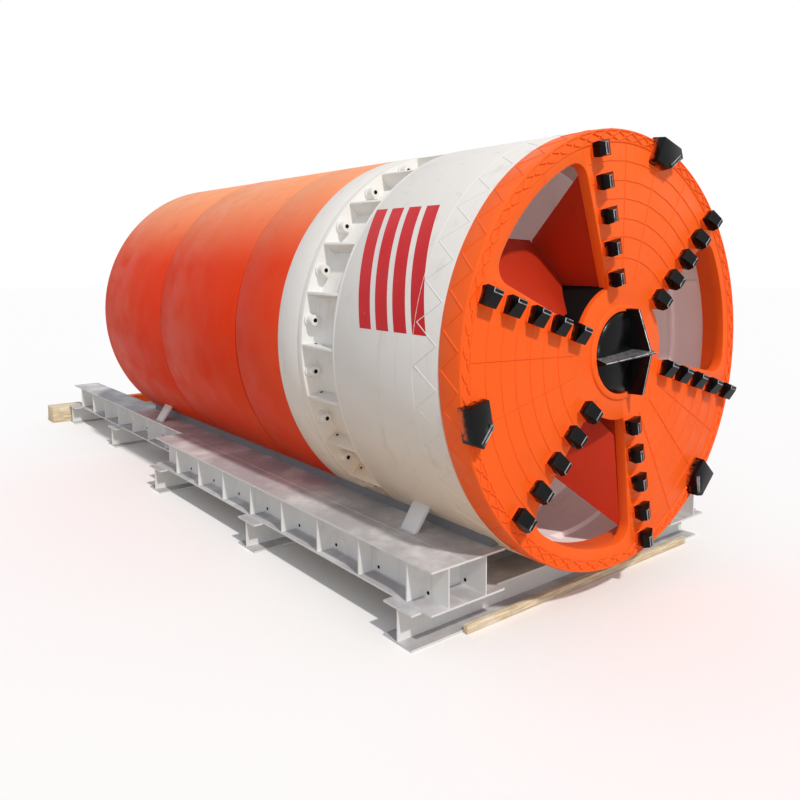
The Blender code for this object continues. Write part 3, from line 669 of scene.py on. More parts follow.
def round_edges(shape: Shape, edges: Iterable, width: float, segments: int = 2, material: int = -1) -> None:
    """Bevels edges with a round profile.

    Args:
        shape: the shape.
        edges: the edges.
        width: how far the bevel reaches from each edge.
        segments: the facets across it.
        material: its material number, or -1 for that of the faces beside it.
    """
    bmesh.ops.bevel(
        shape, geom=list(edges), offset=width, offset_type="OFFSET", segments=segments, profile=0.5,
        affect="EDGES", material=material, clamp_overlap=True,
    )


def sharp_edges(shape: Shape, least: float = 40.0) -> list:
    """Finds sharp edges.

    Args:
        shape: the shape.
        least: the least turn between an edge's two faces, in degrees.

    Returns:
        The edges.
    """
    limit = math.radians(least)
    return [e for e in shape.edges if len(e.link_faces) == 2 and e.calc_face_angle(0.0) > limit]


def disc_section(radius: float, start: float, end: float) -> list[Point]:
    """The section of a round plate, for spun.

    Args:
        radius: its radius.
        start: where it starts behind the face.
        end: where it ends.

    Returns:
        The section's corners.
    """
    return [(CORE, start), (radius, start), (radius, end), (CORE, end)]


def ring_section(outer: float, inner: float, start: float, end: float) -> list[Point]:
    """The section of a plain ring, for spun.

    Args:
        outer: its outer radius.
        inner: its inner radius.
        start: where it starts behind the face.
        end: where it ends.

    Returns:
        The section's corners.
    """
    return [(outer, start), (outer, end), (inner, end), (inner, start)]


def spun(profile: Sequence[Point], station: Station, steps: int = 240, edge: float = 0.003) -> Shape:
    """A ring about the machine's axis.

    Args:
        profile: radius and distance behind the face of each corner of its closed section.
        station: the machine's axis.
        steps: facets round the ring.
        edge: width of the rounded corners.

    Returns:
        The closed shape.
    """
    shape = bmesh.new()
    corners = [shape.verts.new((radius, station.face + behind, station.height)) for radius, behind in profile]
    for i, corner in enumerate(corners):
        shape.edges.new((corner, corners[(i + 1) % len(corners)]))
    bmesh.ops.spin(
        shape, geom=shape.verts[:] + shape.edges[:], cent=(0, station.face, station.height), axis=(0, 1, 0),
        dvec=(0, 0, 0), angle=math.tau, steps=steps, use_merge=True, use_duplicate=False,
    )
    bmesh.ops.recalc_face_normals(shape, faces=shape.faces)
    if edge:
        round_edges(shape, sharp_edges(shape), edge)
    return shape


def rounded_box(low: Sequence[float], high: Sequence[float], edge: float, segments: int = 2) -> Shape:
    """A box with rounded edges.

    Args:
        low: its lowest corner.
        high: its highest corner.
        edge: the width of its rounded edges, or 0.
        segments: the facets across each.

    Returns:
        The closed shape.
    """
    shape = bmesh.new()
    bmesh.ops.create_cube(shape, size=1.0)
    bmesh.ops.scale(shape, vec=[b - a for a, b in zip(low, high)], verts=shape.verts)
    bmesh.ops.translate(shape, vec=[(a + b) / 2 for a, b in zip(low, high)], verts=shape.verts)
    if edge:
        round_edges(shape, shape.edges[:], edge, segments)
    return shape


def rod(radius: float, start: float, end: float, facets: int = 32, edge: float = 0.0) -> Shape:
    """A cylinder along local Y.

    Args:
        radius: its radius.
        start: where it starts along Y.
        end: where it ends.
        facets: the facets round it.
        edge: the width of its rounded ends, or 0.

    Returns:
        The closed shape.
    """
    shape = bmesh.new()
    bmesh.ops.create_cone(
        shape, cap_ends=True, segments=facets, radius1=radius, radius2=radius, depth=end - start
    )
    bmesh.ops.rotate(shape, cent=(0, 0, 0), matrix=Matrix.Rotation(-math.pi / 2, 3, "X"), verts=shape.verts)
    bmesh.ops.translate(shape, vec=(0, (start + end) / 2, 0), verts=shape.verts)
    if edge:
        round_edges(shape, sharp_edges(shape), edge)
    return shape


def put(target: Shape, source: Shape, place: Matrix = Matrix(), material: int | None = None) -> None:
    """Adds a moved copy of one shape to another.

    Args:
        target: the shape that grows.
        source: the shape that is copied, and stays as it is.
        place: the move.
        material: a material number for the copy, or None to keep its own.
    """
    mesh = bpy.data.meshes.new("spare")
    source.to_mesh(mesh)
    mesh.transform(place)
    if place.determinant() < 0:
        mesh.flip_normals()
    if material is not None:
        for polygon in mesh.polygons:
            polygon.material_index = material
    target.from_mesh(mesh)
    bpy.data.meshes.remove(mesh)


def sweep(shape: Shape, path: Sequence[Vector], radius: float, facets: int = 6, closed: bool = False) -> None:
    """Adds a bead along a path.

    Args:
        shape: the shape that grows.
        path: the points that the bead follows.
        radius: the bead's radius.
        facets: the facets round it.
        closed: whether the path's end joins its start.
    """
    rings = []
    count = len(path)
    for i, point in enumerate(path):
        after = path[(i + 1) % count] if closed or i < count - 1 else point
        before = path[i - 1] if closed or i > 0 else point
        turn = (after - before).to_track_quat("Z", "Y").to_matrix().to_4x4()
        ring = bmesh.ops.create_circle(
            shape, cap_ends=False, radius=radius, segments=facets, matrix=Matrix.Translation(point) @ turn
        )
        rings.append([e for v in ring["verts"] for e in v.link_edges])
    pairs = list(zip(rings, rings[1:]))
    if closed:
        pairs.append((rings[-1], rings[0]))
    for one, other in pairs:
        bmesh.ops.bridge_loops(shape, edges=list({*one, *other}))
    if not closed:
        for ring in (rings[0], rings[-1]):
            bmesh.ops.holes_fill(shape, edges=list(set(ring)), sides=0)


def subtract(shape: Shape, cutter: Shape) -> Shape:
    """Cuts one shape out of another by an exact Boolean.

    Args:
        shape: the shape that is cut, which is freed.
        cutter: what is cut out of it, which is freed too.

    Returns:
        What is left.
    """
    objects = []
    for part in (shape, cutter):
        mesh = bpy.data.meshes.new("spare")
        part.to_mesh(mesh)
        part.free()
        objects.append(bpy.data.objects.new("spare", mesh))
        bpy.context.scene.collection.objects.link(objects[-1])
    modifier = objects[0].modifiers.new("Cut", "BOOLEAN")
    modifier.operation = "DIFFERENCE"
    modifier.object = objects[1]
    graph = bpy.context.evaluated_depsgraph_get()
    result = bmesh.new()
    result.from_mesh(objects[0].evaluated_get(graph).to_mesh())
    for obj in objects:
        bpy.data.objects.remove(obj, do_unlink=True)
    return result


@dataclass
class Pick:
    """A cutting pick: a forged block with a ridge on the side of its opening, on a welded base."""

    width: float = 0.130
    length: float = 0.112
    shoulder: float = 0.072
    reach: float = 0.122
    ridge_share: float = 0.20
    ridge_offset: float = 0.27
    base: float = 0.022
    worn: float = 0.0035

    def block(self, side: int) -> Shape:
        """The black block, with X along the radius and the ridge toward -Y.

        Args:
            side: 1 where the opening lies toward +Z, -1 where it lies toward -Z.

        Returns:
            The closed shape, whose worn ridge has material 1.
        """
        shape = bmesh.new()
        bmesh.ops.create_cube(shape, size=1.0)
        bmesh.ops.scale(shape, vec=(self.length, self.shoulder, self.width), verts=shape.verts)
        bmesh.ops.translate(shape, vec=(0, -self.shoulder / 2, 0), verts=shape.verts)
        tip = min(shape.faces, key=lambda f: f.calc_center_median().y)
        crest = grow(shape, tip, (0, self.shoulder - self.reach, 0))
        bmesh.ops.scale(shape, vec=(0.74, 1.0, self.ridge_share), verts=crest)
        bmesh.ops.translate(shape, vec=(0, 0, side * self.ridge_offset * self.width), verts=crest)
        root = [v for v in shape.verts if v.co.y > -0.001]
        bmesh.ops.scale(shape, vec=(0.86, 1.0, 0.84), verts=root)
        bmesh.ops.recalc_face_normals(shape, faces=shape.faces)
        edges = sharp_edges(shape, 15.0)
        ridge = [e for e in edges if all(v.co.y < -self.reach * 0.9 for v in e.verts)]
        rest = [e for e in edges if e not in set(ridge) and min(v.co.y for v in e.verts) < -0.01]
        round_edges(shape, ridge, self.worn, 1, 1)
        kept = set(shape.edges)
        round_edges(shape, [e for e in rest if e.is_valid and e in kept], self.worn)
        return shape

    def foot(self) -> Shape:
        """The orange base that the block is welded to."""
        half = self.width * 0.44
        return rounded_box((-self.length * 0.50, -self.base, -half), (self.length * 0.50, 0.02, half), 0.008)


@dataclass
class GaugeCutter:
    """A wide block on the rim that cuts the bore to size, with one corner cut off."""

    half: float = 0.138
    inner: float = 0.188
    outer: float = 0.016
    reach: float = 0.098
    cut_inner: float = 0.035
    cut_outer: float = -0.055
    root: float = 0.015

    def block(self, side: int) -> Shape:
        """The block about the rim's edge, X along the radius.

        Args:
            side: 1 where the cut corner is toward +Z, -1 where it is toward -Z.

        Returns:
            The closed shape, whose hard-metal bars have material 1.
        """
        far = self.half * side
        outline = [
            (self.outer, -far), (self.outer, far * 0.66), (self.cut_outer, far),
            (-self.inner, self.cut_inner * side), (-self.inner, -far),
        ]
        shape = bmesh.new()
        corners = [shape.verts.new((x, self.root, z)) for x, z in outline]
        crest = grow(shape, shape.faces.new(corners), (0, -self.root - self.reach, 0))
        bmesh.ops.translate(shape, vec=(-0.010, 0, 0), verts=[v for v in crest if v.co.x > 0])
        bmesh.ops.translate(shape, vec=(0.012, 0.020, 0), verts=[v for v in crest if v.co.x < -0.1])
        bmesh.ops.recalc_face_normals(shape, faces=shape.faces)
        round_edges(shape, sharp_edges(shape, 15.0), 0.006)
        start = Vector((self.cut_outer, 0, far))
        end = Vector((-self.inner, 0, self.cut_inner * side))
        along = (end - start).normalized()
        inward = Vector((-along.z, 0, along.x))
        if inward.z * side > 0:
            inward = -inward
        for offset in (0.016, 0.038):
            middle = (start + end) / 2 + inward * offset
            bar = rounded_box((-0.072, -0.004, -0.005), (0.072, 0.010, 0.005), 0.002)
            turn = Matrix.Rotation(-math.atan2(along.z, along.x), 4, "Y")
            put(shape, bar, Matrix.Translation((middle.x, -self.reach + 0.006, middle.z)) @ turn, 1)
            bar.free()
        return shape


@dataclass
class Cutterhead:
    """The turning head: face plate with three openings, legs, hub, picks and centre bit."""

    shop: Shop
    turn: float = 72.5
    rim_depth: float = 0.190
    rim_inner: float = 0.90
    plate: float = 0.080
    hub: float = 0.500
    leg_depth: float = 0.640
    leg_rear: float = 0.860
    half_angle: float = 36.0
    corner: float = 0.135
    pick_angle: float = 30.5
    cutter_sides: tuple[int, ...] = (-1, 1, -1)
    pick_radii: tuple[float, ...] = (0.560, 0.780, 1.010, 1.248, 1.472)
    weld_rings: tuple[float, ...] = (0.433, 0.528, 0.609, 0.697, 0.778, 0.864)
    weld_rays: tuple[float, ...] = (-14.5, 1.5, 17.0)
    border: Point = (0.945, 0.994)
    border_teeth: int = 66
    bead: float = 0.0042
    border_bead: float = 0.0080
    disc_radius: float = 0.300
    bit_turn: float = 94.0
    wedge_turn: float = 96.0
    blade_offset: float = 0.080
    scoop_plate: float = 0.030
    # Each scoop's corners, as a share of the shield's radius and an angle past its sector's middle
    scoop_edge: Point = (0.860, 84.2)
    scoop_hub: Point = (0.400, 82.5)
    scoop_deep: Point = (0.543, 36.2)
    scoop_reach: tuple[Point, ...] = ((0.900, 84.5), (0.930, 76.0), (0.750, 63.5))
    scoop_corners: tuple[Point, ...] = (
        (0.543, 36.2), (0.335, 36.2), (0.318, 54.0), (0.318, 72.0), (0.400, 82.5)
    )
    names: tuple[str, ...] = ("head_rim", "head_sector_1", "head_sector_2", "head_sector_3", "head_hub")

    def thirds(self) -> list[float]:
        """The angle of each sector's middle."""
        return [self.turn + 120.0 * i for i in range(3)]

    def opening(self) -> Shape:
        """The cutter of one opening about local +X, with rounded corners."""
        radius = self.shop.station.radius
        outer, inner = radius * (self.rim_inner - 0.002), self.hub * 0.99
        half = 60.0 - self.half_angle
        count = 24
        # The stretch beside each outer corner is straight, to leave room for its rounding
        room = math.degrees(1.4 * self.corner / outer)
        turns = [-half] + [(half - room) * (2 * i / count - 1) for i in range(count + 1)] + [half]
        outline = []
        for reach, row in ((outer, turns), (inner, turns[::-1])):
            outline += [(reach * math.cos(math.radians(a)), reach * math.sin(math.radians(a))) for a in row]
        shape = bmesh.new()
        grow(shape, shape.faces.new([shape.verts.new((x, -0.3, z)) for x, z in outline]), (0, 0.9, 0))
        bmesh.ops.recalc_face_normals(shape, faces=shape.faces)
        along = [e for e in shape.edges if abs(e.verts[0].co.y - e.verts[1].co.y) > 0.5]
        sharp = [e for e in along if e.calc_face_angle(0.0) > math.radians(40)]
        far = [e for e in sharp if math.hypot(e.verts[0].co.x, e.verts[0].co.z) > (outer + inner) / 2]
        round_edges(shape, far, self.corner, 8)
        return shape

    def build_face(self) -> None:
        """The plate with its rim, hub, legs and openings."""
        station = self.shop.station
        radius = station.radius
        inner = radius * self.rim_inner
        profile = [
            (CORE, 0), (radius, 0), (radius, self.rim_depth), (inner, self.rim_depth), (inner, self.plate),
            (CORE, self.plate),
        ]
        plate = spun(profile, station, 240, 0.0)
        cutters = bmesh.new()
        opening = self.opening()
        for third in self.thirds():
            put(cutters, opening, station.turned(third + 60.0))
        opening.free()
        plate = subtract(plate, cutters)
        bmesh.ops.dissolve_degenerate(plate, dist=0.0002, edges=plate.edges)
        round_edges(plate, sharp_edges(plate, 50.0), 0.007, 2)
        # The legs take the deeper orange-red, a painted shade on their walls
        for third in self.thirds():
            leg = self.leg()
            put(plate, leg, station.turned(third), 1)
            leg.free()
        # The hub is painted shadow, near black, so that its side shows dark beside the openings
        hub = spun(disc_section(self.hub, self.plate / 2, self.leg_depth), station, 120, 0.004)
        put(plate, hub, Matrix(), 2)
        hub.free()
        f = self.shop.finishes
        materials = [f.head_orange, f.head_orange_shade, f.shadow_black]
        self.shop.piece("cutterhead_face", plate, materials, Body.HEAD, "orange_enamel", self.names)

    def leg(self) -> Shape:
        """One leg behind a sector, leaning in from the rim to the drum."""
        outer = self.shop.station.radius * self.rim_inner - 0.070
        half = math.radians(self.half_angle - 0.8)
        count = 24
        turns = [half * (2 * i / count - 1) for i in range(count + 1)]
        inner = self.hub + 0.002
        shape = bmesh.new()
        outline = [(outer, a) for a in turns] + [(inner, a) for a in reversed(turns)]
        corners = [shape.verts.new((r * math.cos(a), self.plate / 2, r * math.sin(a))) for r, a in outline]
        verts = grow(shape, shape.faces.new(corners), (0, self.leg_depth - self.plate / 2, 0))
        far = [v for v in verts if math.hypot(v.co.x, v.co.z) > (inner + outer) / 2]
        share = self.leg_rear / outer
        bmesh.ops.scale(shape, vec=(share, 1.0, share), verts=far)
        bmesh.ops.recalc_face_normals(shape, faces=shape.faces)
        round_edges(shape, sharp_edges(shape, 45.0), 0.006, 2)
        return shape

    def scoop(self, third: float) -> Shape:
        """The sloped plate that leads muck from one edge of an opening into the chamber.

        Args:
            third: the middle angle of the sector before the opening.

        Returns:
            The closed plate, in place.
        """
        station = self.shop.station
        radius = station.radius
        places = (
            (self.scoop_edge, self.plate), (self.scoop_hub, self.plate), (self.scoop_deep, self.leg_depth),
        )
        edge, hub, deep = [
            station.at(share * radius, third + turn, behind) for (share, turn), behind in places
        ]
        normal = (hub - edge).cross(deep - edge).normalized()
        corners = []
        # The first scoop bulges past its edge
        wide = self.scoop_reach if third == self.turn else (self.scoop_edge,)
        for share, turn in wide + self.scoop_corners:
            point = station.at(share * radius, third + turn, 0.0)
            point.y += (edge - point).dot(normal) / normal.y
            corners.append(point)
        shape = bmesh.new()
        into = normal * (self.scoop_plate if normal.y > 0 else -self.scoop_plate)
        grow(shape, shape.faces.new([shape.verts.new(c) for c in corners]), into)
        bmesh.ops.recalc_face_normals(shape, faces=shape.faces)
        round_edges(shape, sharp_edges(shape, 30.0), 0.004)
        return shape

    def build_scoops(self) -> None:
        """A scoop in each opening."""
        scoops = bmesh.new()
        for third in self.thirds():
            scoop = self.scoop(third)
            put(scoops, scoop)
            scoop.free()
        # The scoops take the deeper orange-red, a painted shade
        self.shop.piece("muck_scoops", scoops, [self.shop.finishes.head_orange_shade], Body.HEAD, "orange_enamel")

    def build_welds(self) -> None:
        """Hard-facing beads: rings and rays on the sectors, lattice on the border, zigzag on the band."""
        station = self.shop.station
        radius = station.radius
        beads = bmesh.new()
        reach = self.half_angle - 1.5
        for third in self.thirds():
            for share in self.weld_rings:
                path = [station.at(share * radius, third - reach + reach * i / 4, -0.001) for i in range(9)]
                sweep(beads, path, self.bead)
            for offset in self.weld_rays:
                path = [station.at(r * radius, third + offset, -0.001) for r in (0.335, 0.5, 0.7, 0.94)]
                sweep(beads, path, self.bead)
        for share in self.border:
            path = [station.at(share * radius, 3.0 * i, 0.0) for i in range(120)]
            sweep(beads, path, self.border_bead, 6, True)
        tooth = 360.0 / self.border_teeth
        ends = (self.border[0] + 0.003, self.border[1] - 0.003)
        for side in (0, 1):
            for i in range(self.border_teeth):
                path = [
                    station.at(ends[(i + side + end + 1) % 2] * radius, tooth * (i + end), -0.002)
                    for end in (0, 1)
                ]
                sweep(beads, path, self.border_bead)
        enamel = [self.shop.finishes.head_orange]
        self.shop.piece("face_weld_beads", beads, enamel, Body.HEAD, "orange_enamel")
        band = bmesh.new()
        self.zigzag(band, 0.018, self.rim_depth - 0.016, 40, 0.0065)
        self.shop.piece("rim_weld_beads", band, enamel, Body.HEAD, "orange_enamel")

    def zigzag(self, shape: Shape, front: float, rear: float, teeth: int, bead: float) -> None:
        """Adds beads that run from edge to edge of a band round the shell.

        Args:
            shape: the shape that grows.
            front: the band's front edge, behind the face.
            rear: its rear edge.
            teeth: how many times the beads run there and back.
            bead: the bead's radius.
        """
        station = self.shop.station
        lift = station.radius - 0.0015
        for i in range(teeth):
            start, end = 360.0 * i / teeth, 360.0 * (i + 1) / teeth
            middle = (start + end) / 2
            for one, other in (((start, rear), (middle, front)), ((middle, front), (end, rear))):
                turn, behind = other[0] - one[0], other[1] - one[1]
                path = [station.at(lift, one[0] + turn * t / 3, one[1] + behind * t / 3) for t in range(4)]
                sweep(shape, path, bead)

    def build_tools(self) -> None:
        """Picks on six lines and three gauge cutters."""
        station = self.shop.station
        pick = Pick()
        foot = pick.foot()
        blocks, feet = bmesh.new(), bmesh.new()
        for side in (-1, 1):
            block = pick.block(side)
            for third in self.thirds():
                for radius in self.pick_radii:
                    line = station.turned(third + side * self.pick_angle)
                    place = line @ Matrix.Translation((radius, 0, 0))
                    put(blocks, block, place)
                    put(feet, foot, place)
            block.free()
        foot.free()
        for third, side in zip(self.thirds(), self.cutter_sides):
            cutter = GaugeCutter().block(side)
            put(blocks, cutter, station.turned(third) @ Matrix.Translation((station.radius, 0, 0)))
            cutter.free()
        f = self.shop.finishes
        blacks = [f.tool_black, f.worn_edge_and_highlight]
        self.shop.piece("picks_and_gauge_cutters", blocks, blacks, Body.HEAD, "carbide_black")
        self.shop.piece("pick_bases", feet, [f.head_orange], Body.HEAD, "orange_enamel")

    def build_bit(self) -> None:
        """The centre bit: a domed disc with a cross of two fins."""
        station = self.shop.station
        disc = self.disc_radius
        profile = [
            (CORE, -0.060), (disc * 0.50, -0.056), (disc * 0.82, -0.044), (disc * 0.96, -0.022),
            (disc, -0.002), (disc, 0.02), (CORE, 0.02),
        ]
        bit = spun(profile, station, 96, 0.003)
        aside = Matrix.Translation((0, 0, -self.blade_offset))
        for place, fin in (
            (station.turned(self.bit_turn) @ aside, self.blade()),
            (station.turned(self.bit_turn + self.wedge_turn), self.wedge()),
        ):
            put(bit, fin, place)
            fin.free()
        f = self.shop.finishes
        blacks = [f.bit_black, f.worn_edge_and_highlight]
        self.shop.piece("centre_fishtail_bit", bit, blacks, Body.HEAD, "carbide_black", ("centre_bit",))
        profile = [(0.003, -0.020), (0.045, -0.014), (0.055, 0.004), (0.003, 0.004)]
        collar = spun([(disc + out, behind) for out, behind in profile], station, 96, 0.003)
        self.shop.piece("bit_collar", collar, [f.head_orange], Body.HEAD, "orange_enamel")

    def fin(self, outline: Sequence[Point], thick: float, crest: float, end: float) -> Shape:
        """A fin of the bit along local X, thinner at its front edge and at its ends.

        Args:
            outline: its corners, as distance from the middle and height over the face.
            thick: its thickness at the root.
            crest: the share of the thickness left at the front edge.
            end: the share of the thickness left at the ends.

        Returns:
            The closed shape, whose front edge has material 1.
        """
        shape = bmesh.new()
        corners = [shape.verts.new((x, -high, -thick / 2)) for x, high in outline]
        grow(shape, shape.faces.new(corners), (0, 0, thick))
        reach = max(abs(x) for x, _ in outline)
        for vert in shape.verts:
            vert.co.z *= 1.0 - (1.0 - end) * abs(vert.co.x) / reach
            if vert.co.y < -0.03:
                vert.co.z *= crest
        bmesh.ops.recalc_face_normals(shape, faces=shape.faces)
        front = [e for e in sharp_edges(shape, 15.0) if all(v.co.y < -0.05 for v in e.verts)]
        round_edges(shape, front, 0.004, 1, 1)
        return shape

    def blade(self) -> Shape:
        """The long blade, highest near its middle."""
        half = self.disc_radius * 1.05
        outline = [(-half, -0.01), (-half, 0.135), (0.0, 0.2100), (half, 0.115), (half, -0.01)]
        return self.fin(outline, 0.070, 0.22, 1.0)

    def wedge(self) -> Shape:
        """The thick wedge across the blade, which thins and falls toward both ends."""
        half = self.disc_radius
        peak = -self.blade_offset
        outline = [(-half * 0.6, -0.01), (-half * 0.6, 0.070), (peak, 0.2485), (half, 0.100), (half, -0.01)]
        wedge = self.fin(outline, 0.260, 0.06, 0.30)
        # The upper flank is bare steel, a painted highlight on the side turned to the light
        for face in wedge.faces:
            if face.normal.z < -0.25 and face.normal.y < -0.1:
                face.material_index = 1
        return wedge

    def build(self) -> None:
        """Builds and dresses the head."""
        self.build_face()
        self.build_scoops()
        self.build_welds()
        self.build_tools()
        self.build_bit()
        station = self.shop.station
        section = disc_section(station.half_width("head_drum"), *station.span("head_drum"))
        drum = spun(section, station, 96, 0.006)
        enamel = [self.shop.finishes.head_orange]
        self.shop.piece("head_drive_drum", drum, enamel, Body.HEAD, "orange_enamel", ("head_drum",))


@dataclass
class Shield:
    """The fixed shells from the front shield to the tail."""

    shop: Shop
    wall: float = 0.060
    tail_wall: float = 0.040
    seal_wall: float = 0.045
    pocket_depth: float = 0.130
    pocket_wall: float = 0.045
    front_lip: float = 0.025
    rear_lip: float = 0.067
    pockets: int = 24
    divider: float = 0.024
    boss_radius: float = 0.042
    boss_length: float = 0.085
    boss_bore: float = 0.017
    boss_inset: float = 0.062
    bolt_hole: float = 0.011
    # The red bars: where the first lies behind the face, their pitch, width, slant and angles
    stripes: int = 4
    stripe_start: float = 0.34
    stripe_pitch: float = 0.195
    stripe_width: float = 0.135
    stripe_slant: float = 0.30
    stripe_middle: float = 156.0
    stripe_span: float = 34.0
    step_height: float = 0.045
    step_span: Point = (0.52, 0.99)
    chamber_ports: tuple[float, ...] = (128.0,)
    chamber_bars: tuple[float, ...] = (18.0, 262.0)

    def shell(
        self, name: str, node: str, wall: float, outside: Material, inside: Material, slot: str
    ) -> None:
        """Puts a smooth shell in place of a faceted one.

        Args:
            name: the piece's name.
            node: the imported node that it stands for.
            wall: its thickness.
            outside: its material outside.
            inside: its material inside.
            slot: the record's material slot.
        """
        station = self.shop.station
        radius = station.half_width(node)
        shape = spun(ring_section(radius, radius - wall, *station.span(node)), station, 240, 0.004)
        for face in shape.faces:
            middle = face.calc_center_median()
            if math.hypot(middle.x, middle.z - station.height) < radius - wall * 0.7:
                face.material_index = 1
        self.shop.piece(name, shape, [outside, inside], Body.FIXED, slot, (node,))

    def build_shells(self) -> None:
        """Every plain ring of the shield."""
        f = self.shop.finishes
        self.shell("front_shield_shell", "front_shield", self.wall, f.cream, f.chamber, "cream_enamel")
        self.shell("coupling_ring_shell", "coupling_ring", self.wall, f.cream, f.chamber, "cream_enamel")
        self.shell("mid_shield_shell", "mid_shield", self.wall, f.body_orange, f.cream, "orange_enamel")
        self.shell("seal_ring_rubber", "seal_ring", self.seal_wall, f.rubber, f.rubber, "dark_seal")
        self.shell("tail_front_skin", "tail_front", self.tail_wall, f.body_orange, f.cream, "orange_enamel")
        self.shell("tail_rear_skin", "tail_rear", self.tail_wall, f.body_orange, f.cream, "orange_enamel")

    def build_pocket_ring(self) -> None:
        """The ring of pockets with its dividers, bosses and bolt holes."""
        station = self.shop.station
        start, end = station.span("pocket_ring")
        radius = station.radius
        floor = radius - self.pocket_depth
        inner = floor - self.pocket_wall
        front, rear = start + self.front_lip, end - self.rear_lip
        profile = [
            (radius, start), (radius, front), (floor, front), (floor, rear), (radius, rear), (radius, end),
            (inner, end), (inner, start),
        ]
        ring = spun(profile, station, 240, 0.004)
        pitch = 360.0 / self.pockets
        half = self.divider / 2
        plate = rounded_box((floor - 0.01, front - 0.008, -half), (radius - 0.003, rear + 0.008, half), 0.003)
        boss = rod(self.boss_radius, rear - self.boss_length, rear + 0.01, 24, 0.006)
        nut = rod(self.boss_radius + 0.010, rear - 0.020, rear + 0.01, 24, 0.004)
        # Holes are discs of painted shadow, near black, that stand a millimetre or two proud of what they go
        # into
        hole = rod(self.boss_bore, rear - self.boss_length - 0.0015, rear - 0.05, 16)
        small = rod(self.bolt_hole, 0.0, 0.003, 12)
        middle = radius - self.boss_inset
        across = Matrix.Rotation(-math.pi / 2, 4, "X")
        for i in range(self.pockets):
            put(ring, plate, station.turned(pitch * i))
            place = station.turned(pitch * (i + 0.5)) @ Matrix.Translation((middle, 0, 0))
            put(ring, boss, place)
            put(ring, nut, place)
            put(ring, hole, place, 1)
            # Bolt holes through each divider, near the floor
            for behind in (front + 0.05, rear - 0.06):
                for side in (half - 0.0005, -half - 0.0025):
                    middle_of_hole = Matrix.Translation((floor + 0.035, behind, side))
                    put(ring, small, station.turned(pitch * i) @ middle_of_hole @ across, 1)
        for spare in (plate, boss, nut, hole, small):
            spare.free()
        f = self.shop.finishes
        enamels = [f.cream, f.shadow_black]
        self.shop.piece("pocket_ring_casting", ring, enamels, Body.FIXED, "cream_enamel", ("pocket_ring",))

    def build_seams(self) -> None:
        """Weld beads at the tail's seam and the zigzag behind the head."""
        station = self.shop.station
        seam = station.span("tail_rear")[0]
        beads = bmesh.new()
        path = [station.at(station.radius - 0.001, 3.0 * i, seam) for i in range(120)]
        sweep(beads, path, 0.0045, 6, True)
        f = self.shop.finishes
        self.shop.piece("tail_seam_weld", beads, [f.body_orange], Body.FIXED, "orange_enamel")
        front = station.span("front_shield")[0]
        zigzag = bmesh.new()
        Cutterhead(self.shop).zigzag(zigzag, front + 0.02, front + 0.23, 36, 0.0045)
        path = [station.at(station.radius - 0.0015, 3.0 * i, front + 0.25) for i in range(120)]
        sweep(zigzag, path, 0.0035, 6, True)
        self.shop.piece("shield_weld_beads", zigzag, [f.cream], Body.FIXED, "cream_enamel")

    def build_stripes(self) -> None:
        """Plain slanted red bars painted on the front shield's side."""
        station = self.shop.station
        shape = bmesh.new()
        start = station.span("front_shield")[0]
        for side in (0, 1):
            for i in range(self.stripes):
                bar = bmesh.new()
                bmesh.ops.create_grid(bar, x_segments=10, y_segments=24, size=0.5)
                for vert in bar.verts:
                    across, along = vert.co.x, vert.co.y
                    behind = start + self.stripe_start + self.stripe_pitch * i
                    behind += self.stripe_width * across + self.stripe_slant * along
                    turn = self.stripe_middle - self.stripe_span * along
                    if side:
                        turn = 180.0 - turn
                    vert.co = station.at(station.radius + 0.0006, turn, behind)
                bmesh.ops.recalc_face_normals(bar, faces=bar.faces)
                middle = station.at(0, 0, 0)
                first = bar.faces[:][0]
                if (first.calc_center_median() - middle).dot(first.normal) < 0:
                    bmesh.ops.reverse_faces(bar, faces=bar.faces)
                bmesh.ops.solidify(bar, geom=bar.faces[:], thickness=0.0012)
                put(shape, bar)
                bar.free()
        self.shop.piece("shield_red_bars", shape, [self.shop.finishes.sign_red], Body.FIXED, "cream_enamel")

    def build_chamber(self) -> None:
        """What shows through the openings: the chamber's step, bars and port."""
        station = self.shop.station
        inner = station.radius - self.wall
        section = ring_section(inner + 0.002, inner - self.step_height, *self.step_span)
        shape = spun(section, station, 160, 0.004)
        for turn in self.chamber_bars:
            bar = rounded_box((inner - 0.06, 0.24, -0.03), (inner + 0.004, 0.98, 0.03), 0.006)
            put(shape, bar, station.turned(turn))
            bar.free()
        port = rod(0.07, 0.0, 0.012, 32)
        ring = rod(0.10, 0.0, 0.010, 32, 0.003)
        inward = Matrix.Rotation(math.pi / 2, 4, "Z")
        for turn in self.chamber_ports:
            place = station.turned(turn) @ Matrix.Translation((inner, 0.42, 0)) @ inward
            put(shape, ring, place)
            # The port's hole is a disc of painted shadow
            put(shape, port, place @ Matrix.Translation((0, 0.001, 0)), 1)
        port.free()
        ring.free()
        f = self.shop.finishes
        self.shop.piece("chamber_lining", shape, [f.chamber, f.shadow_black], Body.FIXED, "cream_enamel")

    def build(self) -> None:
        """Builds and dresses the shield."""
        self.build_shells()
        self.build_pocket_ring()
        self.build_seams()
        self.build_stripes()
        self.build_chamber()
        self.shop.dress("bulkhead", self.shop.finishes.chamber)
        self.shop.dress("main_drive", self.shop.finishes.dark_steel)


@dataclass
class Backup:
    """What shows in the tail: thrust jacks, erector and screw conveyor."""

    shop: Shop

    def build(self) -> None:
        """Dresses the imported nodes."""
        f = self.shop.finishes
        self.shop.dress("thrust_ring", f.cream)
        for number in range(1, 7):
            self.shop.dress(f"thrust_jack_{number}", f.chrome)
        self.shop.dress("erector_frame", f.cream)
        self.shop.dress("erector_ring", f.body_orange)
        self.shop.dress("screw_conveyor", f.dark_steel)
        self.shop.dress("discharge_gate", f.body_orange)


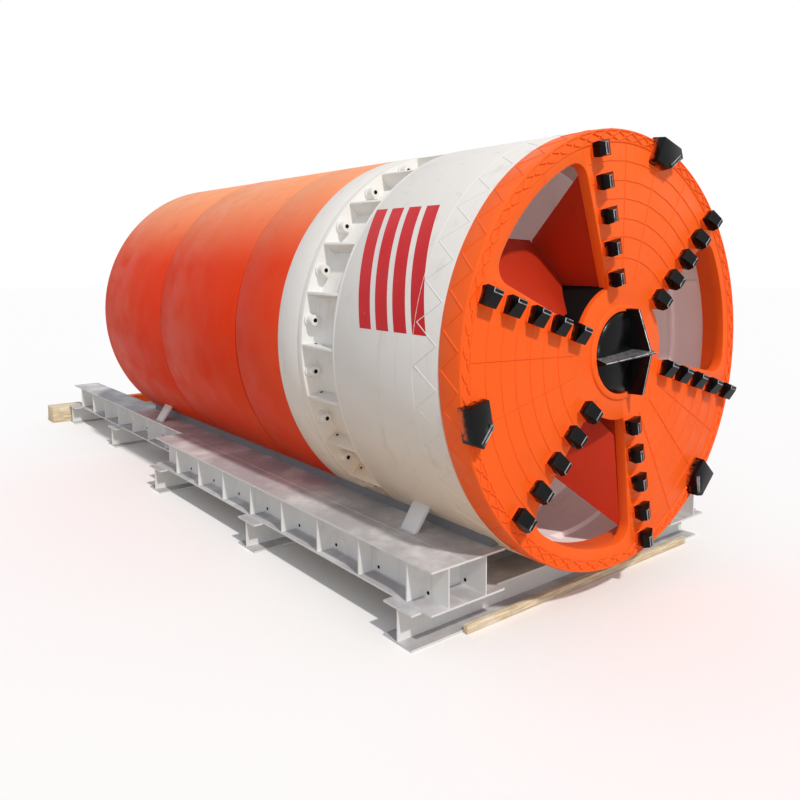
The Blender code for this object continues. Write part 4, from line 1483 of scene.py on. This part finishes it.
@dataclass
class Cradle:
    """The beams, bars and timbers that the machine lies on."""

    shop: Shop
    flange: float = 0.015
    web: float = 0.010
    rib_start: float = 0.496
    rib_pitch: float = 0.553
    chock_foot: float = 1.228
    chock_top: float = 1.112
    chock_thick: float = 0.024
    chock_width: float = 0.170
    fillet: float = 0.006
    drain_radius: float = 0.013
    drain_height: float = 0.055
    # The foot plank: how far its ends lie inside the cross-beam's, its depth, gap and height
    plank_ends: Point = (0.45, 0.25)
    plank_reach: float = 0.050
    plank_gap: float = 0.008
    plank_height: float = 0.060

    def build(self) -> None:
        """Dresses the beams and builds the timbers."""
        f = self.shop.finishes
        for name in frame["nodes"]:
            if name.startswith(("inner_beam", "outer_beam", "cross_beam")):
                self.shop.dress(name, f.beam_grey)
            elif name.startswith("bearing_bar"):
                # The bearing bars get the dark grey of painted shade
                self.shop.dress(name, f.bar_shade_grey)
        self.shop.dress("rear_tie", f.head_orange)
        self.build_welds()
        self.build_drains()
        for side, sign in (("left", -1), ("right", 1)):
            for end in ("front", "rear"):
                self.build_chock(f"chock_{end}_{side}", sign)
            low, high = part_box(f"timber_{side}")
            shape = rounded_box(low, high, 0.006)
            nodes = (f"timber_{side}",)
            self.shop.piece(f"sawn_timber_{side}", shape, [f.timber], Body.FIXED, "pale_timber", nodes)
        self.build_plank()

    def build_chock(self, node: str, sign: int) -> None:
        """A flat bar that leans from the deck to the shell.

        Args:
            node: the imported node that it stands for.
            sign: -1 on the left, 1 on the right.
        """
        station = self.shop.station
        low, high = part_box(node)
        middle = (low[1] + high[1]) / 2
        tops = (self.chock_top, self.chock_top + self.chock_thick)
        heights = [station.height - math.sqrt(station.radius**2 - x**2) + 0.001 for x in tops]
        section = [(self.chock_foot, low[2]), (self.chock_foot + self.chock_thick * 1.3, low[2])]
        section += [(tops[1], heights[1]), (tops[0], heights[0])]
        shape = bmesh.new()
        corners = [shape.verts.new((sign * x, middle - self.chock_width / 2, z)) for x, z in section]
        grow(shape, shape.faces.new(corners), (0, self.chock_width, 0))
        bmesh.ops.recalc_face_normals(shape, faces=shape.faces)
        round_edges(shape, shape.edges[:], 0.002)
        toe = sign * (self.chock_foot + 0.042)
        foot = [Vector((toe, middle + self.chock_width * s, low[2])) for s in (-0.5, 0.5)]
        sweep(shape, foot, self.fillet)
        primer = [self.shop.finishes.beam_grey]
        self.shop.piece(f"{node}_bar", shape, primer, Body.FIXED, "grey_steel", (node,))

    def build_welds(self) -> None:
        """Fillet welds along the webs, and the filled seam between the two beams."""
        shape = bmesh.new()
        for side, sign in (("left", -1), ("right", 1)):
            for row in ("inner", "outer"):
                low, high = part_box(f"{row}_beam_{side}")
                middle = (low[0] + high[0]) / 2
                for height in (low[2] + self.flange, high[2] - self.flange):
                    for offset in (-self.web / 2, self.web / 2):
                        stations = (low[1] + 0.004, high[1] - 0.004)
                        ends = [Vector((middle + offset, y, height)) for y in stations]
                        sweep(shape, ends, self.fillet)
            outer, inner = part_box(f"outer_beam_{side}"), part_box(f"inner_beam_{side}")
            edges = sorted((abs(x) for x in (outer[0][0], outer[1][0], inner[0][0], inner[1][0])))[1:3]
            for top in (outer[1][2], outer[0][2] + self.flange):
                start, end = (edges[0] - 0.003) * sign, (edges[1] + 0.003) * sign
                low = (min(start, end), outer[0][1] + 0.001, top - 0.012)
                seam = rounded_box(low, (max(start, end), outer[1][1] - 0.001, top + 0.0015), 0.0012)
                put(shape, seam)
                seam.free()
        self.shop.piece("beam_welds", shape, [self.shop.finishes.beam_grey], Body.FIXED, "grey_steel")

    def build_drains(self) -> None:
        """The drain hole low in the web beside each rib, a near black disc of painted shadow."""
        station = self.shop.station
        shape = bmesh.new()
        disc = rod(self.drain_radius, -0.001, 0.002, 16)
        outward = Matrix.Rotation(math.pi / 2, 4, "Z")
        for side in ("left", "right"):
            for row in ("inner", "outer"):
                low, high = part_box(f"{row}_beam_{side}")
                middle, behind = (low[0] + high[0]) / 2, self.rib_start
                while station.face + behind < high[1] - 0.1:
                    for offset in (-self.web / 2 - 0.0005, self.web / 2 + 0.0005):
                        at = (middle + offset, station.face + behind - 0.06, low[2] + self.drain_height)
                        put(shape, disc, Matrix.Translation(at) @ outward)
                    behind += self.rib_pitch
        disc.free()
        self.shop.piece("beam_drain_holes", shape, [self.shop.finishes.shadow_black], Body.FIXED, "grey_steel")

    def build_plank(self) -> None:
        """The thin sawn plank at the foot of the first cross-beam."""
        low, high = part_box("cross_beam_1")
        start = (low[0] + self.plank_ends[0], low[1] - self.plank_reach, 0.0)
        end = (high[0] - self.plank_ends[1], low[1] - self.plank_gap, self.plank_height)
        shape = rounded_box(start, end, 0.004)
        self.shop.piece("foot_plank", shape, [self.shop.finishes.timber], Body.FIXED, "pale_timber")


@dataclass
class Studio:
    """Floor, lamps, world and camera."""

    station: Station
    away: tuple[float, float, float] = (-4.715, -3.342, 0.694)
    yaw: float = 38.52
    pitch: float = -4.56
    lens: float = 34.48
    shift: float = -0.1025
    sky: float = 0.52
    key_strength: float = 2.12
    key_heading: tuple[float, float, float] = (0.12, 0.65, -0.75)
    fill_strength: float = 0.58
    fill_heading: tuple[float, float, float] = (0.62, 0.78, -0.08)

    def build_floor(self) -> None:
        """A pale floor whose colour is the background's."""
        shape = bmesh.new()
        bmesh.ops.create_grid(shape, x_segments=1, y_segments=1, size=60.0)
        mesh = bpy.data.meshes.new("floor")
        shape.to_mesh(mesh)
        shape.free()
        floor = bpy.data.objects.new("floor", mesh)
        floor.location = (0, 0, -0.001)
        bpy.context.scene.collection.objects.link(floor)
        material, tree, shader = new_tree("studio_floor")
        # It shows white, and throws a warm light on the underside
        colour = blend_colour(tree, seen_itself(tree), linear("#B9AC9B"), linear("#FFFFFF"))
        tree.links.new(colour, shader.inputs["Base Color"])
        shader.inputs["Roughness"].default_value = 0.9
        shader.inputs["Specular IOR Level"].default_value = 0.0
        mesh.materials.append(material)

    @staticmethod
    def sun(name: str, strength: float, heading: Sequence[float]) -> bpy.types.Light:
        """Adds a sun lamp.

        Args:
            name: its name.
            strength: its strength.
            heading: the direction in which its light travels.

        Returns:
            The lamp's data.
        """
        light = bpy.data.lights.new(name, "SUN")
        light.energy = strength
        lamp = bpy.data.objects.new(name, light)
        lamp.rotation_euler = Vector(heading).to_track_quat("-Z", "Y").to_euler()
        bpy.context.scene.collection.objects.link(lamp)
        return light

    def build_lamps(self) -> None:
        """A key from above the front, a weak fill, and the world."""
        scene = bpy.context.scene
        world = bpy.data.worlds.new("studio")
        scene.world = world
        world.use_nodes = True
        tree = world.node_tree
        tree.nodes["Background"].inputs["Strength"].default_value = self.sky
        tree.nodes["Background"].inputs["Color"].default_value = linear("#F3F6FF")
        seen = add_node(tree, "ShaderNodeBackground", {"Strength": 1.0, "Color": linear("#FFFFFF")}, {})
        links = {0: seen_itself(tree), 1: tree.nodes["Background"].outputs[0], 2: seen.outputs[0]}
        mix = add_node(tree, "ShaderNodeMixShader", {}, links)
        tree.links.new(mix.outputs[0], tree.nodes["World Output"].inputs["Surface"])
        key = self.sun("key", self.key_strength, self.key_heading)
        key.angle = math.radians(3)
        key.color = (1.0, 0.96, 0.90)
        # Without shadow, so that it reaches into the openings
        self.sun("fill", self.fill_strength, self.fill_heading).use_shadow = False

    def build_camera(self) -> None:
        """The camera at the photograph's viewing angle."""
        camera = bpy.data.cameras.new("view")
        camera.lens = self.lens
        camera.sensor_width = 36.0
        camera.sensor_fit = "HORIZONTAL"
        camera.shift_y = self.shift
        camera.clip_end = 200.0
        view = bpy.data.objects.new("view", camera)
        x, y, z = self.away
        view.location = (x, self.station.face + y, self.station.height + z)
        view.rotation_euler = (math.radians(90.0 + self.pitch), 0, -math.radians(self.yaw))
        bpy.context.scene.collection.objects.link(view)
        bpy.context.scene.camera = view

    def build(self) -> None:
        """Sets the stage."""
        self.build_floor()
        self.build_lamps()
        self.build_camera()
        bpy.context.scene.view_settings.view_transform = "Standard"


def main() -> None:
    """Builds the classes in order."""
    logging.basicConfig(level=logging.INFO, format="%(name)s: %(message)s")
    station = Station.read()
    shop = Shop(station, Finishes())
    Studio(station).build()
    for assembly in (Cutterhead(shop), Shield(shop), Backup(shop), Cradle(shop)):
        assembly.build()
        LOG.info("built %s", type(assembly).__name__)


if __name__ == "__main__":
    main()
